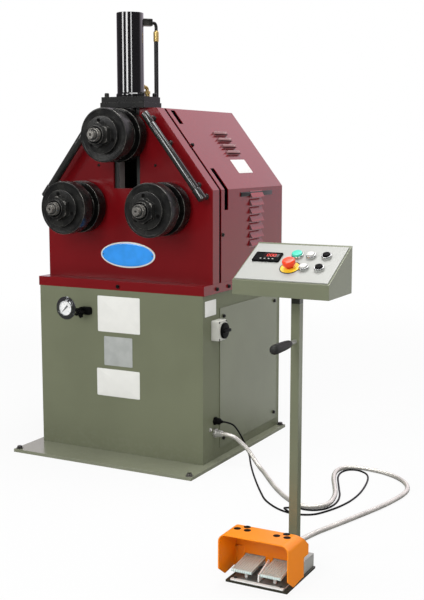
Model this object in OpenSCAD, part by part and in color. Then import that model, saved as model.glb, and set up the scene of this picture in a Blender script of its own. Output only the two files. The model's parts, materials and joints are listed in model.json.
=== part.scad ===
// Angle roll bender: three bending rolls on a floor-standing machine, with a separate
// control stand, a double foot pedal and the two cords that join them to the machine.
// Millimetres. The origin is on the floor, at the centre of the four anchor holes.
// +Z is up, the rolls face -Y and the stand is on the +X side.

/* [Base plate] */
// Width of the floor plate
base_w = 780; // [750:5:860]
// Depth of the floor plate
base_d = 820; // [780:5:900]
// Thickness of the floor plate
base_t = 12; // [8:1:20]
// Diameter of an anchor hole
anchor_d = 14; // [10:1:16]
// Distance of an anchor hole's centre from the edges of the floor plate
anchor_inset = 16; // [14:1:18]

/* [Lower cabinet] */
// Width of the cabinet
cabinet_w = 716; // [690:2:720]
// Depth of the cabinet
cabinet_d = 672; // [640:2:690]
// Height of the cabinet
cabinet_h = 622; // [600:2:660]
// Thickness of all cabinet and cover sheet
sheet_t = 3; // [2:0.5:5]
// Width of the folded rim round the top of the cabinet
rim_w = 28; // [18:1:40]
// Width of the side access panel
access_w = 510; // [400:2:520]
// Height of the side access panel
access_h = 529; // [400:1:540]

/* [Upper frame] */
// Height of the band between cabinet and roll frame
skirt_h = 35; // [28:1:50]
// Overhang of that band at each side of the cabinet
skirt_overhang = 5; // [3:1:10]
// Width of the roll frame
plate_w = 724; // [700:2:726]
// Height of the frame's upright sides
cheek_h = 340; // [320:2:360]
// Height of the frame's slanted sides
slope_h = 296; // [280:2:310]
// Width of the frame's flat top
head_w = 262; // [250:2:280]
// Distance of the front plate behind the cabinet front
plate_setback = 70; // [60:1:80]
// Thickness of the front plate
plate_t = 50; // [46:1:60]
// Open gap between front plate and sheet cover
frame_gap = 16; // [10:1:24]
// Overhang of the sheet cover at the back
cover_overhang = 8; // [4:1:10]
// Number of louvres on each slanted side
slope_louvres = 4; // [2:1:5]
// Number of louvres on each upright side
cheek_louvres = 7; // [3:1:8]

/* [Bending rolls] */
// Outside diameter of the rolls
roll_od = 195; // [180:1:200]
// Diameter of the roll shafts
shaft_d = 60; // [50:1:64]
// Height of the lower shafts above the band
lower_rise = 271; // [260:1:285]
// Height of the top shaft above the lower shafts, at rest
top_rise = 265; // [258:1:266]
// Width of the disc next to the frame
inner_disc_w = 48; // [40:1:52]
// Width of the narrow hub between the discs
hub_w = 42; // [30:1:46]
// Diameter of that hub
hub_d = 150; // [130:1:165]
// Width of the outer disc
outer_disc_w = 52; // [44:1:56]
// Diameter of the nut's flange
nut_flange_d = 134; // [118:1:142]
// Width across the flats of the shaft nut
nut_flats = 80; // [74:1:88]

/* [Ram and cylinder] */
// Width of the slot in the front plate
slot_w = 116; // [112:1:124]
// Width of a guide strip in the slot
gib_w = 19.5; // [16:0.5:21]
// Downward travel of the top roll
stroke = 105; // [80:1:106]
// Outside diameter of the cylinder barrel
barrel_d = 100; // [96:1:110]
// Bore of the barrel
barrel_bore = 84; // [70:1:86]
// Height of the barrel
barrel_h = 304; // [290:2:330]
// Diameter of the piston rod
piston_rod_d = 45; // [36:1:50]
// Width of the cylinder's flange
flange_w = 184; // [170:1:200]
// Depth of the cylinder's flange
flange_d = 116; // [112:1:124]

/* [Gear drive] */
// Module of the gears, which sets the spacing of the lower rolls
gear_module = 6; // [5.8:0.1:6.2]
// Teeth on each roll gear
gear_teeth = 40; // [38:2:42]
// Teeth on the pinion between them
pinion_teeth = 21; // [19:2:23]
// Face width of the gears
gear_w = 40; // [30:1:50]

/* [Guide rods] */
// Diameter of a slanted guide rod
guide_rod_d = 26; // [22:1:28]
// Distance of the rods in front of the front plate
guide_rod_off = 42; // [36:1:46]
// Distance of the rods inside the slanted edges
guide_rod_inset = 34; // [30:1:40]

/* [Control stand] */
// Distance of the stand to the right of the machine's centre
stand_x = 977; // [960:1:990]
// Distance of the stand's front edge in front of the origin
stand_front = 1120; // [1110:1:1130]
// Width of the stand's floor plate
stand_w = 180; // [170:2:196]
// Depth of the stand's floor plate
stand_d = 260; // [254:2:290]
// Width of the square post
post_w = 25; // [22:1:30]
// Height of the console's underside above the floor
console_z = 764; // [720:2:820]
// Width of the console
console_w = 279; // [260:1:300]
// Depth of the console
console_d = 169; // [160:1:185]
// Height of the console's front
console_lip = 40; // [36:1:50]
// Height of the console's back
console_back = 129; // [120:1:140]

/* [Foot pedal] */
// Width of the guard
guard_w = 204; // [196:2:220]
// Height of the guard's roof above the floor
guard_h = 140; // [132:1:150]
// Depth of the guard
guard_d = 137; // [132:1:142]
// Width of one pedal
pedal_w = 60; // [54:1:64]
// Length of one pedal in front of its pin
pedal_l = 100; // [92:1:102]

/* [Hidden] */
$fn = 48;
overrun = 1;

// Running clearance of a shaft, clearance of sliding pieces, and of fixed pieces on a shaft
run_clear = 0.05;
slide_clear = 0.3;
seat_clear = 0.04;

// Levels and faces of the machine
x_side = cabinet_w / 2;
y_back = base_d / 2;
y_front = y_back - cabinet_d;
z_cab = base_t + cabinet_h;
z_skirt = z_cab + skirt_h;
z_shoulder = z_skirt + cheek_h;
z_head = z_shoulder + slope_h;
half_plate = plate_w / 2;
half_head = head_w / 2;
y_plate = y_front + plate_setback;
y_plate_back = y_plate + plate_t;
y_cover = y_plate_back + frame_gap;
y_cover_back = y_back + cover_overhang;
slope_l = norm([half_plate - half_head, slope_h]);
slope_cos = slope_h / slope_l;
slope_sin = (half_plate - half_head) / slope_l;

// Access panel and the places of the fittings on the cabinet
access_from_front = 130;
access_z = 46;
access_lap = 40;
gauge_from_side = 121;
gauge_from_top = 82;
valve_from_gauge = 85;
valve_drop = 6;
isolator_from_front = 97;
isolator_from_top = 134;
entry_from_front = 92;
gland_z = 158;
connector_z = 112;
gauge_x = gauge_from_side - x_side;
gauge_z = z_cab - gauge_from_top;
valve_x = gauge_x + valve_from_gauge;
valve_z = gauge_z - valve_drop;
isolator_y = y_front + isolator_from_front;
isolator_z = z_cab - isolator_from_top;
entry_y = y_front + entry_from_front;

// Skirt walls, its top plate and the way through it for hoses and leads
skirt_wall = 10;
skirt_top = 12;
skirt_hole_w = 200;
skirt_hole_d = 120;
skirt_beyond = 2;
skirt_back = cover_overhang + skirt_beyond;
y_skirt_back = y_back + skirt_back;

// Cover louvres and the two slots beside the front plate
louvre_l = 110;
louvre_pitch = 31;
louvre_h = 25;
louvre_out = 13;
louvre_from_cover = 236;
louvre_slope_share = 0.3;
louvre_first_drop = 24;
slot_band_w = 30;
slot_band_in = 26;
slot_high_top = 7;
slot_high_l = 50;
slot_low_rise = 76;
slot_low_drop = 75;

// Roll stack, counted from the front plate towards the operator
roll_clear = 13;
roll_chamfer = 4;
shoulder_d = 84;
shoulder_l = 9;
nut_flange_t = 14;
nut_t = 26;
nut_collar_d = 66;
nut_collar_t = 12;
nut_screw_d = 14;
nut_screw_depth = 8;
nut_screw_r = (nut_flange_d + nut_flats) / 4;
nut_screws = 3;
nose_d = 46;
nose_l = 15;
tip_d = 28;
tip_l = 15;
centre_d = 9;
centre_depth = 8;
roll_x = gear_module * (gear_teeth + pinion_teeth) / 2;
roll_z = z_skirt + lower_rise;
top_z = roll_z + top_rise;
y_roll_in = y_plate - roll_clear;
y_hub = y_roll_in - inner_disc_w;
y_outer = y_hub - hub_w;
y_roll_out = y_outer - outer_disc_w;
y_nut = y_roll_out - nut_flange_t;
y_nut_out = y_nut - nut_t;
y_collar = y_nut_out - nut_collar_t;
y_nose = y_collar - nose_l;
y_tip = y_nose - tip_l;

// Ram block, guide strips and slot
slot_drop = 195;
gib_recess = 9;
gib_d = 38;
ram_up = 75;
ram_down = 85;
ram_nose_back = 2;
ram_body_w = 150;
ram_body_d = 96;
ram_gap = 4;
ram_end_t = 12;
z_slot = top_z - slot_drop;
y_ram = y_plate + gib_recess + ram_nose_back;
y_ram_body = y_plate_back + ram_gap;
y_ram_back = y_ram_body + ram_body_d;

// Bearings, rear plate and gears behind the front plate
bearing_d = 110;
rear_plate_t = 40;
rear_inset = 20;
rear_from_ram = 72;
gear_gap = 20;
gear_hub_d = 100;
gear_hub_l = 14;
shaft_tail = 10;
pinion_shaft_d = 40;
pressure_angle = 20;
backlash = 0.3;
flank_steps = 4;
y_rear = y_ram_back + rear_from_ram;
y_gear = y_rear + rear_plate_t + gear_gap;
y_gear_back = y_gear + gear_w;

// Gear motor behind the pinion
gearbox_w = 200;
gearbox_d = 120;
gearbox_rise = 110;
gearbox_gap = 24;
drive_motor_d = 170;
drive_motor_l = 118;
fan_cover_l = 28;
fan_cover_d = 150;
y_gearbox = y_gear_back + gearbox_gap;

// Oil tank and its pump motor in the cabinet
tank_w = 360;
tank_d = 260;
tank_h = 280;
tank_wall = 4;
tank_y = 60;
pump_motor_d = 140;
pump_motor_h = 200;
pump_flange_d = 180;
pump_flange_t = 16;

// Cylinder: mounting plate, flange, barrel, piston and ports
mount_margin = 3;
mount_lip = 4;
mount_t = 20;
flange_t = 21;
cyl_setback = 34;
cyl_y = y_plate + cyl_setback;
barrel_cap_h = 24;
barrel_groove = 3;
barrel_cap_share = 0.93;
barrel_foot_d = 108;
barrel_foot_h = 14;
piston_t = 40;
piston_gap = 10;
z_flange = z_head + mount_t;
z_barrel = z_flange + flange_t;
z_barrel_top = z_barrel + barrel_h;
z_piston_top = z_barrel_top - barrel_cap_h - piston_gap;
ram_top = top_z + ram_up;
port_high_drop = 22;
port_low_rise = 40;
port_high_turn = 48;
port_low_turn = 70;
port_nut_d = 27;
port_nut_l = 16;
port_d = 18;
port_reach_high = 100;
port_reach_low = 78;
port_elbow_drop = 26;
ferrule_d = 20;
ferrule_l = 38;
hose_d = 16;
hose_in = 14;
hose_clear = 1;

// Guide rod ends and stand-offs
rod_end_d = 30;
rod_end_l = 46;
rod_groove_d = 21;
rod_groove_l = 3;
rod_over = 14;
standoff_d = 14;
standoff_foot_d = 22;
standoff_foot_t = 6;
standoff_shares = [0.06, 0.35, 0.84, 0.97];
rod_l = slope_l + rod_over;
y_rod = y_plate - guide_rod_off;

// Pressure gauge and its pointer
gauge_case_d = 58;
gauge_case_l = 32;
gauge_flange_d = 76;
gauge_flange_t = 3;
gauge_tab_d = 18;
gauge_tab_r = 37;
gauge_tabs = 3;
gauge_bezel_d = 70;
gauge_bezel_t = 9;
gauge_dial_d = 62;
gauge_dial_depth = 6;
gauge_pin_d = 3;
gauge_pin_l = 4;
needle_hub_d = 8;
needle_t = 1.2;
needle_l = 26;
needle_tail = 9;
needle_w = 2.4;
needle_gap = 1.5;
needle_rest = 45;

// Valve knob on the cabinet front
valve_stem_d = 12;
valve_stem_l = 40;
valve_collar_d = 30;
valve_collar_t = 8;
valve_collar_gap = 0.4;
valve_knob_d = 30;
valve_knob_t = 18;
valve_knob_off = 14;
valve_lobe_d = 14;
valve_lobe_r = 15;
valve_lobes = 6;

// Isolator box and knob on the cabinet side
isolator_w = 64;
isolator_h = 74;
isolator_t = 35;
isolator_lip = 5;
isolator_lip_in = 4;
isolator_shaft_d = 12;
isolator_shaft_in = 12;
isolator_knob_d = 60;
isolator_knob_t = 9;
isolator_grip_w = 12;
isolator_grip_t = 12;
isolator_gap = 0.5;

// Cord entries on the cabinet side
gland_flats = 27;
gland_hex_t = 10;
gland_cap_d = 24;
gland_cap_l = 18;
gland_tip_d = 16;
gland_tip_l = 6;
gland_thread_d = 20;
gland_thread_l = 10;
connector_flats = 30;
connector_hex_t = 9;
connector_body_d = 24;
connector_body_l = 14;
connector_ferrule_d = 22;
connector_ferrule_l = 11;
connector_thread_d = 21;
cable_d = 6.6;
cable_sides = 8;
conduit_d = 16;
conduit_sides = 10;

// Stand, post and handle
stand_t = 6;
stand_y = -stand_front;
post_x_off = 17;
stand_neck_w = 60;
stand_plate_d = 196;
post_from_front = 218;
post_wall = 2;
post_x = stand_x + post_x_off;
post_y = stand_y + post_from_front;
handle_z = 632;
handle_stud_d = 12;
handle_stud_l = 34;
handle_grip_d = 28;
handle_neck_d = 17;
handle_grip_l = 116;
handle_edge = 2;
handle_end_steps = 6;
cable_entry_z = 60;
cable_entry_d = 8;

// Console
console_t = 2;
console_over_post = 102;
console_off = 8;
console_x = post_x - console_off - console_w / 2;
console_y = post_y - console_over_post;
console_slope = atan2(console_back - console_lip, console_d);
console_slope_l = norm([console_d, console_back - console_lip]);
panel_t = 3;
panel_in = 5;
panel_back_in = 12;
panel_lap = 9;
panel_w = console_w - 2 * panel_in;
panel_l = console_slope_l - panel_in - panel_back_in;
meter_w = 80;
meter_h = 42;
meter_t = 9;
meter_body_in = 3;
meter_body_l = 40;
meter_shares = [0.208, 0.6];
estop_shares = [0.516, 0.355];
start_shares = [0.52, 0.68];
white_front_shares = [0.668, 0.345];
white_rear_shares = [0.668, 0.68];
black_front_shares = [0.832, 0.35];
black_rear_shares = [0.835, 0.685];
button_d = 22;
button_rise = 9;
button_fall = 12;
bezel_d = 29;
bezel_t = 4;
start_rise = 9;
start_d = 29;
start_bezel_d = 34;
estop_head_d = 36;
estop_head_t = 15;
estop_head_gap = 8;
estop_collar_d = 32;
estop_collar_t = 4;
button_edge = 2;

// Foot pedal: base, box, guard, pedals and pin
pedal_base_w = 154;
pedal_base_d = 196;
pedal_base_t = 4;
pedal_base_in = 2;
switch_box_w = 168;
switch_box_d = 82;
switch_box_h = 32;
switch_boss_d = 24;
switch_boss_l = 12;
switch_boss_off = 27;
switch_boss_rise = 17;
divider_t = 4;
divider_front_h = 20;
divider_back_h = 44;
pedal_gap = 10;
pedal_off = (divider_t + pedal_w) / 2 + pedal_gap;
pedal_t = 7;
pedal_rib = 1.2;
pedal_ribs = 9;
pedal_lip_d = 9;
pedal_drop_share = 0.1;
pedal_pin_d = 6;
pedal_pin_rise = 34;
pedal_knuckle_d = 15;
pedal_lug_t = 6;
pedal_lug_gap = 1;
pin_from_box = 14;
stop_d = 9;
stop_h = 13;
stop_share = 0.72;
guard_t = 3;
guard_r = 22;
guard_before = 22;
guard_tip_low = 16;
guard_tip_y = 38;
guard_lip_z = 43;
guard_leg_d = 99;
guard_leg_low = 21;
guard_notch_z = 73;
guard_slope_d = 50;
guard_slope_h = 40;
guard_wall_y = 106;
guard_sill_z = 55;
guard_hole_d = 20;
guard_hole_y = 58;
guard_hole_off = 58;
guard_hole_step = 15;
guard_hole_shift = 4;
guard_hole_gap = 22;
bracket_w = 20;
bracket_off = 50;
bracket_d = 12;
bracket_lap = 20;
z_pedal = stand_t + pedal_base_t;
y_box_back = stand_y + pedal_base_in + pedal_base_d;
y_box = y_box_back - switch_box_d;
y_pin = y_box - pin_from_box;
z_pin = z_pedal + pedal_pin_rise;
boss_x = stand_x - switch_boss_off;
boss_z = z_pedal + switch_boss_rise;
y_boss = y_box_back + switch_boss_l;
y_guard = stand_y - guard_before;

// Both cords leave their fittings straight, for a short lead
cord_gap = 0.3;
cord_lead = 16;

// Route of the foot pedal's metal conduit, from the cabinet to the back of the pedal box
conduit_start = [x_side + connector_hex_t + connector_body_l + connector_ferrule_l + cord_gap,
    entry_y, connector_z];
conduit_end = [boss_x, y_boss + cord_gap, boss_z];
conduit_way = [
    [436, -166, 105], [460, -158, 86], [482, -155, 67],
    [504, -158, 45], [528, -168, 23], [554, -187, 10], [582, -218, 8], [620, -268, 8],
    [660, -320, 8], [702, -371, 8], [746, -418, 8], [780, -449, 8], [808, -470, 8],
    [838, -484, 8], [870, -482, 8], [897, -464, 8], [911, -434, 8], [910, -388, 8],
    [895, -324, 8], [866, -252, 8], [836, -184, 8], [815, -122, 8], [809, -76, 8],
    [817, -43, 8], [840, -20, 8], [872, -11, 8], [918, -14, 8], [972, -28, 8],
    [1030, -62, 8], [1074, -112, 8],
    [1096, -166, 8], [1100, -220, 8], [1092, -284, 8], [1076, -360, 8], [1051, -448, 8],
    [1024, -534, 8], [998, -614, 8], [974, -690, 8], [958, -760, 8], [951, -816, 12],
    [950, -856, 22]
];
conduit_route = concat([conduit_start, conduit_start + [cord_lead, 0, 0]], conduit_way,
    [conduit_end + [0, cord_lead, 0], conduit_end]);

// Route of the stand's black cable, from the cabinet to the foot of the post
cable_start = [x_side + gland_hex_t + gland_cap_l + gland_tip_l + cord_gap, entry_y, gland_z];
cable_end = [post_x, post_y + post_w / 2 + cord_gap, cable_entry_z];
cable_way = [
    [427, -152, 146], [432, -120, 115], [433, -90, 82],
    [436, -66, 46], [442, -56, 20], [454, -68, 6], [470, -98, 4], [490, -135, 4],
    [513, -176, 4], [548, -236, 4], [586, -298, 4], [628, -364, 4], [668, -424, 4],
    [704, -474, 4], [741, -510, 4], [783, -540, 4], [826, -556, 4], [870, -554, 4],
    [907, -530, 4], [933, -478, 4], [952, -418, 4], [963, -348, 4], [963, -268, 4],
    [952, -182, 4], [934, -104, 4], [910, -56, 4], [874, -32, 4], [846, -36, 4],
    [830, -58, 4], [826, -94, 4], [836, -142, 4], [856, -192, 4], [884, -258, 4],
    [910, -320, 4], [925, -378, 4], [927, -428, 4], [916, -470, 4], [892, -496, 4],
    [862, -505, 4], [834, -502, 4], [811, -511, 4], [802, -531, 8], [812, -553, 13],
    [836, -576, 13], [860, -608, 6], [884, -656, 4], [912, -720, 9], [937, -780, 25],
    [960, -822, 43], [978, -846, 54]
];
cable_route = concat([cable_start, cable_start + [cord_lead, 0, 0]], cable_way,
    [cable_end + [0, cord_lead, 0], cable_end]);

// Colours as the machine shows them
olive = [0.42, 0.44, 0.36];
burgundy = [0.46, 0.09, 0.10];
black_oxide = [0.14, 0.15, 0.14];
steel = [0.62, 0.63, 0.62];
grey_cast = [0.60, 0.60, 0.58];
black_plastic = [0.06, 0.06, 0.06];

// A block given by its ranges along X, Y and Z
module slab(x, y, z) {
    translate([x[0], y[0], z[0]]) cube([x[1] - x[0], y[1] - y[0], z[1] - z[0]]);
}

// Round bars along each axis, given by their range on that axis
module bar_x(d, x, y, z) {
    translate([x[0], y, z]) rotate([0, 90, 0]) cylinder(d = d, h = x[1] - x[0]);
}

module bar_y(d, x, y, z) {
    translate([x, y[0], z]) rotate([-90, 0, 0]) cylinder(d = d, h = y[1] - y[0]);
}

module bar_z(d, x, y, z) {
    translate([x, y, z[0]]) cylinder(d = d, h = z[1] - z[0]);
}

// A turned piece on an axis along Y, from a list of [radius, y]
module turned_y(profile, x, z) {
    translate([x, 0, z]) rotate([-90, 0, 0]) rotate_extrude() polygon(profile);
}

// A flat shape in X and Z, carried along Y
module along_y(y) {
    translate([0, y[1], 0]) rotate([90, 0, 0]) linear_extrude(height = y[1] - y[0]) children();
}

// A flat shape in Y and Z, carried along X
module along_x(x) {
    translate([x[0], 0, 0]) rotate([90, 0, 90]) linear_extrude(height = x[1] - x[0]) children();
}

// Both sides of the machine
module both_sides() {
    children();
    mirror([1, 0, 0]) children();
}

// Outline of the upper frame, drawn in by a wall thickness t, from height z upwards
function frame_half(t, z) = [
    [half_plate - t, z],
    [half_plate - t, z_shoulder - t * (1 - slope_cos) / slope_sin],
    [half_head - t * (1 - slope_sin) / slope_cos, z_head - t]
];

module frame_outline(t = 0, z = z_skirt) {
    right = frame_half(t, z);
    left = [for (i = [len(right) - 1:-1:0]) [-right[i][0], right[i][1]]];
    polygon(concat(right, left));
}

// A place on the right slanted side, at a distance along it from the top corner
module on_slope(along) {
    translate([half_head + along * slope_sin, 0, z_head - along * slope_cos])
        rotate([0, 90 - acos(slope_cos), 0])
        children();
}

// A tube swept along a route, with its end rings square to the route
function unit(v) = v / norm(v);
function heading(p, i) = unit(p[min(i + 1, len(p) - 1)] - p[max(i - 1, 0)]);
function beside(h) = unit(cross(h, abs(h[2]) > abs(h[1]) ? [0, 1, 0] : [0, 0, 1]));

module swept_tube(route, d, sides) {
    ring = [for (i = [0:len(route) - 1])
        let (h = heading(route, i), a = beside(h), b = cross(a, h))
        for (k = [0:sides - 1])
            route[i] + d / 2 * (cos(360 * k / sides) * a + sin(360 * k / sides) * b)];
    last = (len(route) - 1) * sides;
    wall = [for (i = [0:len(route) - 2]) for (k = [0:sides - 1])
        let (n = (k + 1) % sides, j = i * sides)
        each [[j + k, j + n, j + sides + n], [j + k, j + sides + n, j + sides + k]]];
    start_cap = [for (k = [1:sides - 2]) [0, k + 1, k]];
    end_cap = [for (k = [1:sides - 2]) [last, last + k, last + k + 1]];
    polyhedron(ring, concat(wall, start_cap, end_cap));
}

// Involute gear outline: half the angle of a tooth at radius r, then the flanks of every tooth
function involute(a) = tan(a) * 180 / PI - a;
function tooth_half(r, teeth, base_r) =
    90 / teeth - backlash / (gear_module * teeth) * 90 / PI
    + involute(pressure_angle) - involute(acos(min(1, base_r / r)));

module gear_outline(teeth, turn) {
    pitch_r = gear_module * teeth / 2;
    base_r = pitch_r * cos(pressure_angle);
    tip_r = pitch_r + gear_module;
    root_r = pitch_r - 1.25 * gear_module;
    start_r = max(base_r, root_r);
    flank = concat(root_r < base_r ? [root_r] : [],
        [for (k = [0:flank_steps]) start_r + (tip_r - start_r) * k / flank_steps]);
    polygon([for (i = [0:teeth - 1])
        let (middle = turn + 360 * i / teeth)
        each concat(
            [for (r = flank)
                let (a = middle - tooth_half(max(r, base_r), teeth, base_r)) [r * cos(a), r * sin(a)]],
            [for (j = [len(flank) - 1:-1:0])
                let (r = flank[j], a = middle + tooth_half(max(r, base_r), teeth, base_r))
                [r * cos(a), r * sin(a)]])]);
}

// Machine: base and cabinet
module base_plate() {
    hole_x = base_w / 2 - anchor_inset;
    hole_y = base_d / 2 - anchor_inset;
    color(grey_cast) difference() {
        slab([-base_w / 2, base_w / 2], [-base_d / 2, base_d / 2], [0, base_t]);
        for (x = [-hole_x, hole_x], y = [-hole_y, hole_y])
            bar_z(anchor_d, x, y, [-overrun, base_t + overrun]);
    }
}

module cabinet_shell() {
    in_x = x_side - sheet_t;
    y_access = y_front + access_from_front;
    color(olive) difference() {
        slab([-x_side, x_side], [y_front, y_back], [base_t, z_cab]);
        slab([-in_x, in_x], [y_front + sheet_t, y_back - sheet_t], [base_t - overrun, z_cab - sheet_t]);
        slab([-x_side + rim_w, x_side - rim_w], [y_front + rim_w, y_back - rim_w],
            [z_cab - sheet_t - overrun, z_cab + overrun]);
        slab([in_x - overrun, x_side + overrun],
            [y_access + access_lap, y_access + access_w - access_lap],
            [access_z + access_lap, access_z + access_h - access_lap]);
        bar_y(gauge_case_d + 2 * slide_clear, gauge_x, [y_front - overrun, y_front + sheet_t + overrun],
            gauge_z);
        bar_y(valve_stem_d + 2 * run_clear, valve_x, [y_front - overrun, y_front + sheet_t + overrun],
            valve_z);
        bar_x(gland_thread_d + 2 * seat_clear, [in_x - overrun, x_side + overrun], entry_y, gland_z);
        bar_x(connector_thread_d + 2 * seat_clear, [in_x - overrun, x_side + overrun], entry_y,
            connector_z);
    }
}

module side_access_panel() {
    y_access = y_front + access_from_front;
    color(olive)
        slab([x_side, x_side + sheet_t], [y_access, y_access + access_w], [access_z, access_z + access_h]);
}

// Band that carries the roll frame on the cabinet
module top_skirt() {
    half = x_side + skirt_overhang;
    hole_y = (y_cover + y_rear) / 2;
    color(burgundy) difference() {
        slab([-half, half], [y_front, y_skirt_back], [z_cab, z_skirt]);
        slab([-half + skirt_wall, half - skirt_wall], [y_front + skirt_wall, y_skirt_back - skirt_wall],
            [z_cab - overrun, z_skirt - skirt_top]);
        slab([-skirt_hole_w / 2, skirt_hole_w / 2],
            [hole_y - skirt_hole_d / 2, hole_y + skirt_hole_d / 2],
            [z_cab, z_skirt + overrun]);
    }
}

// Thick front plate with the ram's slot and the two bearing bores
module front_plate() {
    color(burgundy) difference() {
        along_y([y_plate, y_plate_back]) frame_outline();
        slab([-slot_w / 2, slot_w / 2], [y_plate - overrun, y_plate_back + overrun],
            [z_slot, z_head + overrun]);
        both_sides()
            bar_y(bearing_d, roll_x, [y_plate - overrun, y_plate_back + overrun], roll_z);
    }
}

// Rear plate that carries the inner ends of the lower shafts
module rear_plate() {
    color(steel) difference() {
        along_y([y_rear, y_rear + rear_plate_t]) frame_outline(rear_inset);
        both_sides()
            bar_y(bearing_d, roll_x, [y_rear - overrun, y_rear + rear_plate_t + overrun], roll_z);
    }
}

// One pressed louvre: a hood that leans out to its open lower lip, over a slit in the sheet
louvre_wall = sheet_t * norm([louvre_h, louvre_out]) / louvre_h;
louvre_slit = louvre_h / 2 - louvre_wall * louvre_h / louvre_out;

module louvre_hood() {
    low = louvre_h / 2;
    lean = louvre_out / louvre_h;
    difference() {
        along_y([-louvre_l / 2, louvre_l / 2]) polygon([[0, low], [louvre_out, -low], [0, -low]]);
        along_y([sheet_t - louvre_l / 2, louvre_l / 2 - sheet_t]) polygon([
            [0, louvre_slit], [louvre_out + overrun * lean - louvre_wall, -low - overrun],
            [0, -low - overrun]
        ]);
    }
}

module louvre_places() {
    y_louvre = y_cover + louvre_from_cover + louvre_l / 2;
    for (i = [0:slope_louvres - 1])
        translate([0, y_louvre, 0]) on_slope(slope_l * louvre_slope_share + i * louvre_pitch) children();
    for (i = [0:cheek_louvres - 1])
        translate([half_plate, y_louvre, z_shoulder - louvre_first_drop - i * louvre_pitch]) children();
}

// Sheet cover behind the front plate
module housing_shell() {
    y_slot = [y_cover + slot_band_in, y_cover + slot_band_in + slot_band_w];
    z_high = z_head - slot_high_top;
    color(burgundy) difference() {
        union() {
            difference() {
                along_y([y_cover, y_cover_back]) frame_outline();
                along_y([y_cover - overrun, y_cover_back - sheet_t])
                    frame_outline(sheet_t, z_skirt - overrun);
            }
            both_sides() louvre_places() louvre_hood();
        }
        both_sides() louvre_places()
            slab([-sheet_t - overrun, 0], [-louvre_l / 2 + sheet_t, louvre_l / 2 - sheet_t],
                [-louvre_h / 2, louvre_slit]);
        both_sides() slab([half_head / 2, half_plate], y_slot, [z_high - slot_high_l, z_high]);
        both_sides() slab([half_head, half_plate + overrun], y_slot,
            [z_shoulder - slot_low_drop, z_shoulder + slot_low_rise]);
        for (place = [port_high, port_low])
            bar_z(hose_d + 2 * hose_clear, place[0], place[1], [z_head - sheet_t - overrun,
                z_head + overrun]);
    }
}

// Guide strips that line the slot
module gib_strips() {
    color(black_oxide) both_sides()
        slab([slot_w / 2 - gib_w, slot_w / 2], [y_plate + gib_recess, y_plate + gib_recess + gib_d],
            [z_slot, z_head]);
}

// Front and rear bearings of the lower shafts
module shaft_bearings() {
    color(steel) both_sides() for (y = [[y_plate, y_plate_back], [y_rear, y_rear + rear_plate_t]])
        difference() {
            bar_y(bearing_d - 2 * seat_clear, roll_x, y, roll_z);
            bar_y(shaft_d + 2 * run_clear, roll_x, [y[0] - overrun, y[1] + overrun], roll_z);
        }
}

// Gear motor standing on the band, with its output bore at the pinion
module drive_motor() {
    y_motor = y_gearbox + gearbox_d;
    color(grey_cast) difference() {
        union() {
            slab([-gearbox_w / 2, gearbox_w / 2], [y_gearbox, y_motor], [z_skirt, roll_z + gearbox_rise]);
            bar_y(drive_motor_d, 0, [y_motor, y_motor + drive_motor_l - fan_cover_l], roll_z);
            bar_y(fan_cover_d, 0, [y_motor, y_motor + drive_motor_l], roll_z);
        }
        bar_y(pinion_shaft_d + 2 * run_clear, 0, [y_gearbox - overrun, y_motor - overrun], roll_z);
    }
}

// Oil tank with its pump motor, standing on the floor plate
module hydraulic_unit() {
    z_lid = base_t + tank_h;
    color(grey_cast) union() {
        difference() {
            slab([-tank_w / 2, tank_w / 2], [tank_y, tank_y + tank_d], [base_t, z_lid]);
            slab([-tank_w / 2 + tank_wall, tank_w / 2 - tank_wall],
                [tank_y + tank_wall, tank_y + tank_d - tank_wall],
                [base_t + tank_wall, z_lid - tank_wall]);
        }
        bar_z(pump_flange_d, 0, tank_y + tank_d / 2, [z_lid, z_lid + pump_flange_t]);
        bar_z(pump_motor_d, 0, tank_y + tank_d / 2, [z_lid, z_lid + pump_flange_t + pump_motor_h]);
    }
}

// Ram: cylinder, rod and sliding block
module mount_plate() {
    color(black_oxide) difference() {
        slab([-flange_w / 2 - mount_margin, flange_w / 2 + mount_margin],
            [cyl_y - flange_d / 2 - mount_lip, cyl_y + flange_d / 2 + mount_lip],
            [z_head, z_flange]);
        bar_z(piston_rod_d + 2 * slide_clear, 0, cyl_y, [z_head - overrun, z_flange + overrun]);
    }
}

module cylinder_flange() {
    color(black_oxide) difference() {
        slab([-flange_w / 2, flange_w / 2], [cyl_y - flange_d / 2, cyl_y + flange_d / 2],
            [z_flange, z_barrel]);
        bar_z(piston_rod_d + 2 * run_clear, 0, cyl_y, [z_flange - overrun, z_barrel + overrun]);
    }
}

module cylinder_barrel() {
    z_groove = z_barrel + barrel_h * barrel_cap_share;
    color(black_oxide) difference() {
        union() {
            bar_z(barrel_d, 0, cyl_y, [z_barrel, z_groove]);
            bar_z(barrel_d - 2 * barrel_groove, 0, cyl_y, [z_groove - barrel_groove, z_barrel_top]);
            bar_z(barrel_d, 0, cyl_y, [z_groove + barrel_groove, z_barrel_top]);
            bar_z(barrel_foot_d, 0, cyl_y, [z_barrel, z_barrel + barrel_foot_h]);
        }
        bar_z(barrel_bore, 0, cyl_y, [z_barrel - overrun, z_barrel_top - barrel_cap_h]);
    }
}

// Ports: reach from the barrel, turned back from +X; the low one stays clear of the flange
function port_place(reach, turn) = [reach * cos(turn), cyl_y + reach * sin(turn)];
port_high = port_place(port_reach_high, port_high_turn);
port_low = port_place(port_reach_low, port_low_turn);
z_port_high = z_barrel_top - port_high_drop;
z_port_low = z_barrel + port_low_rise;

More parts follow.
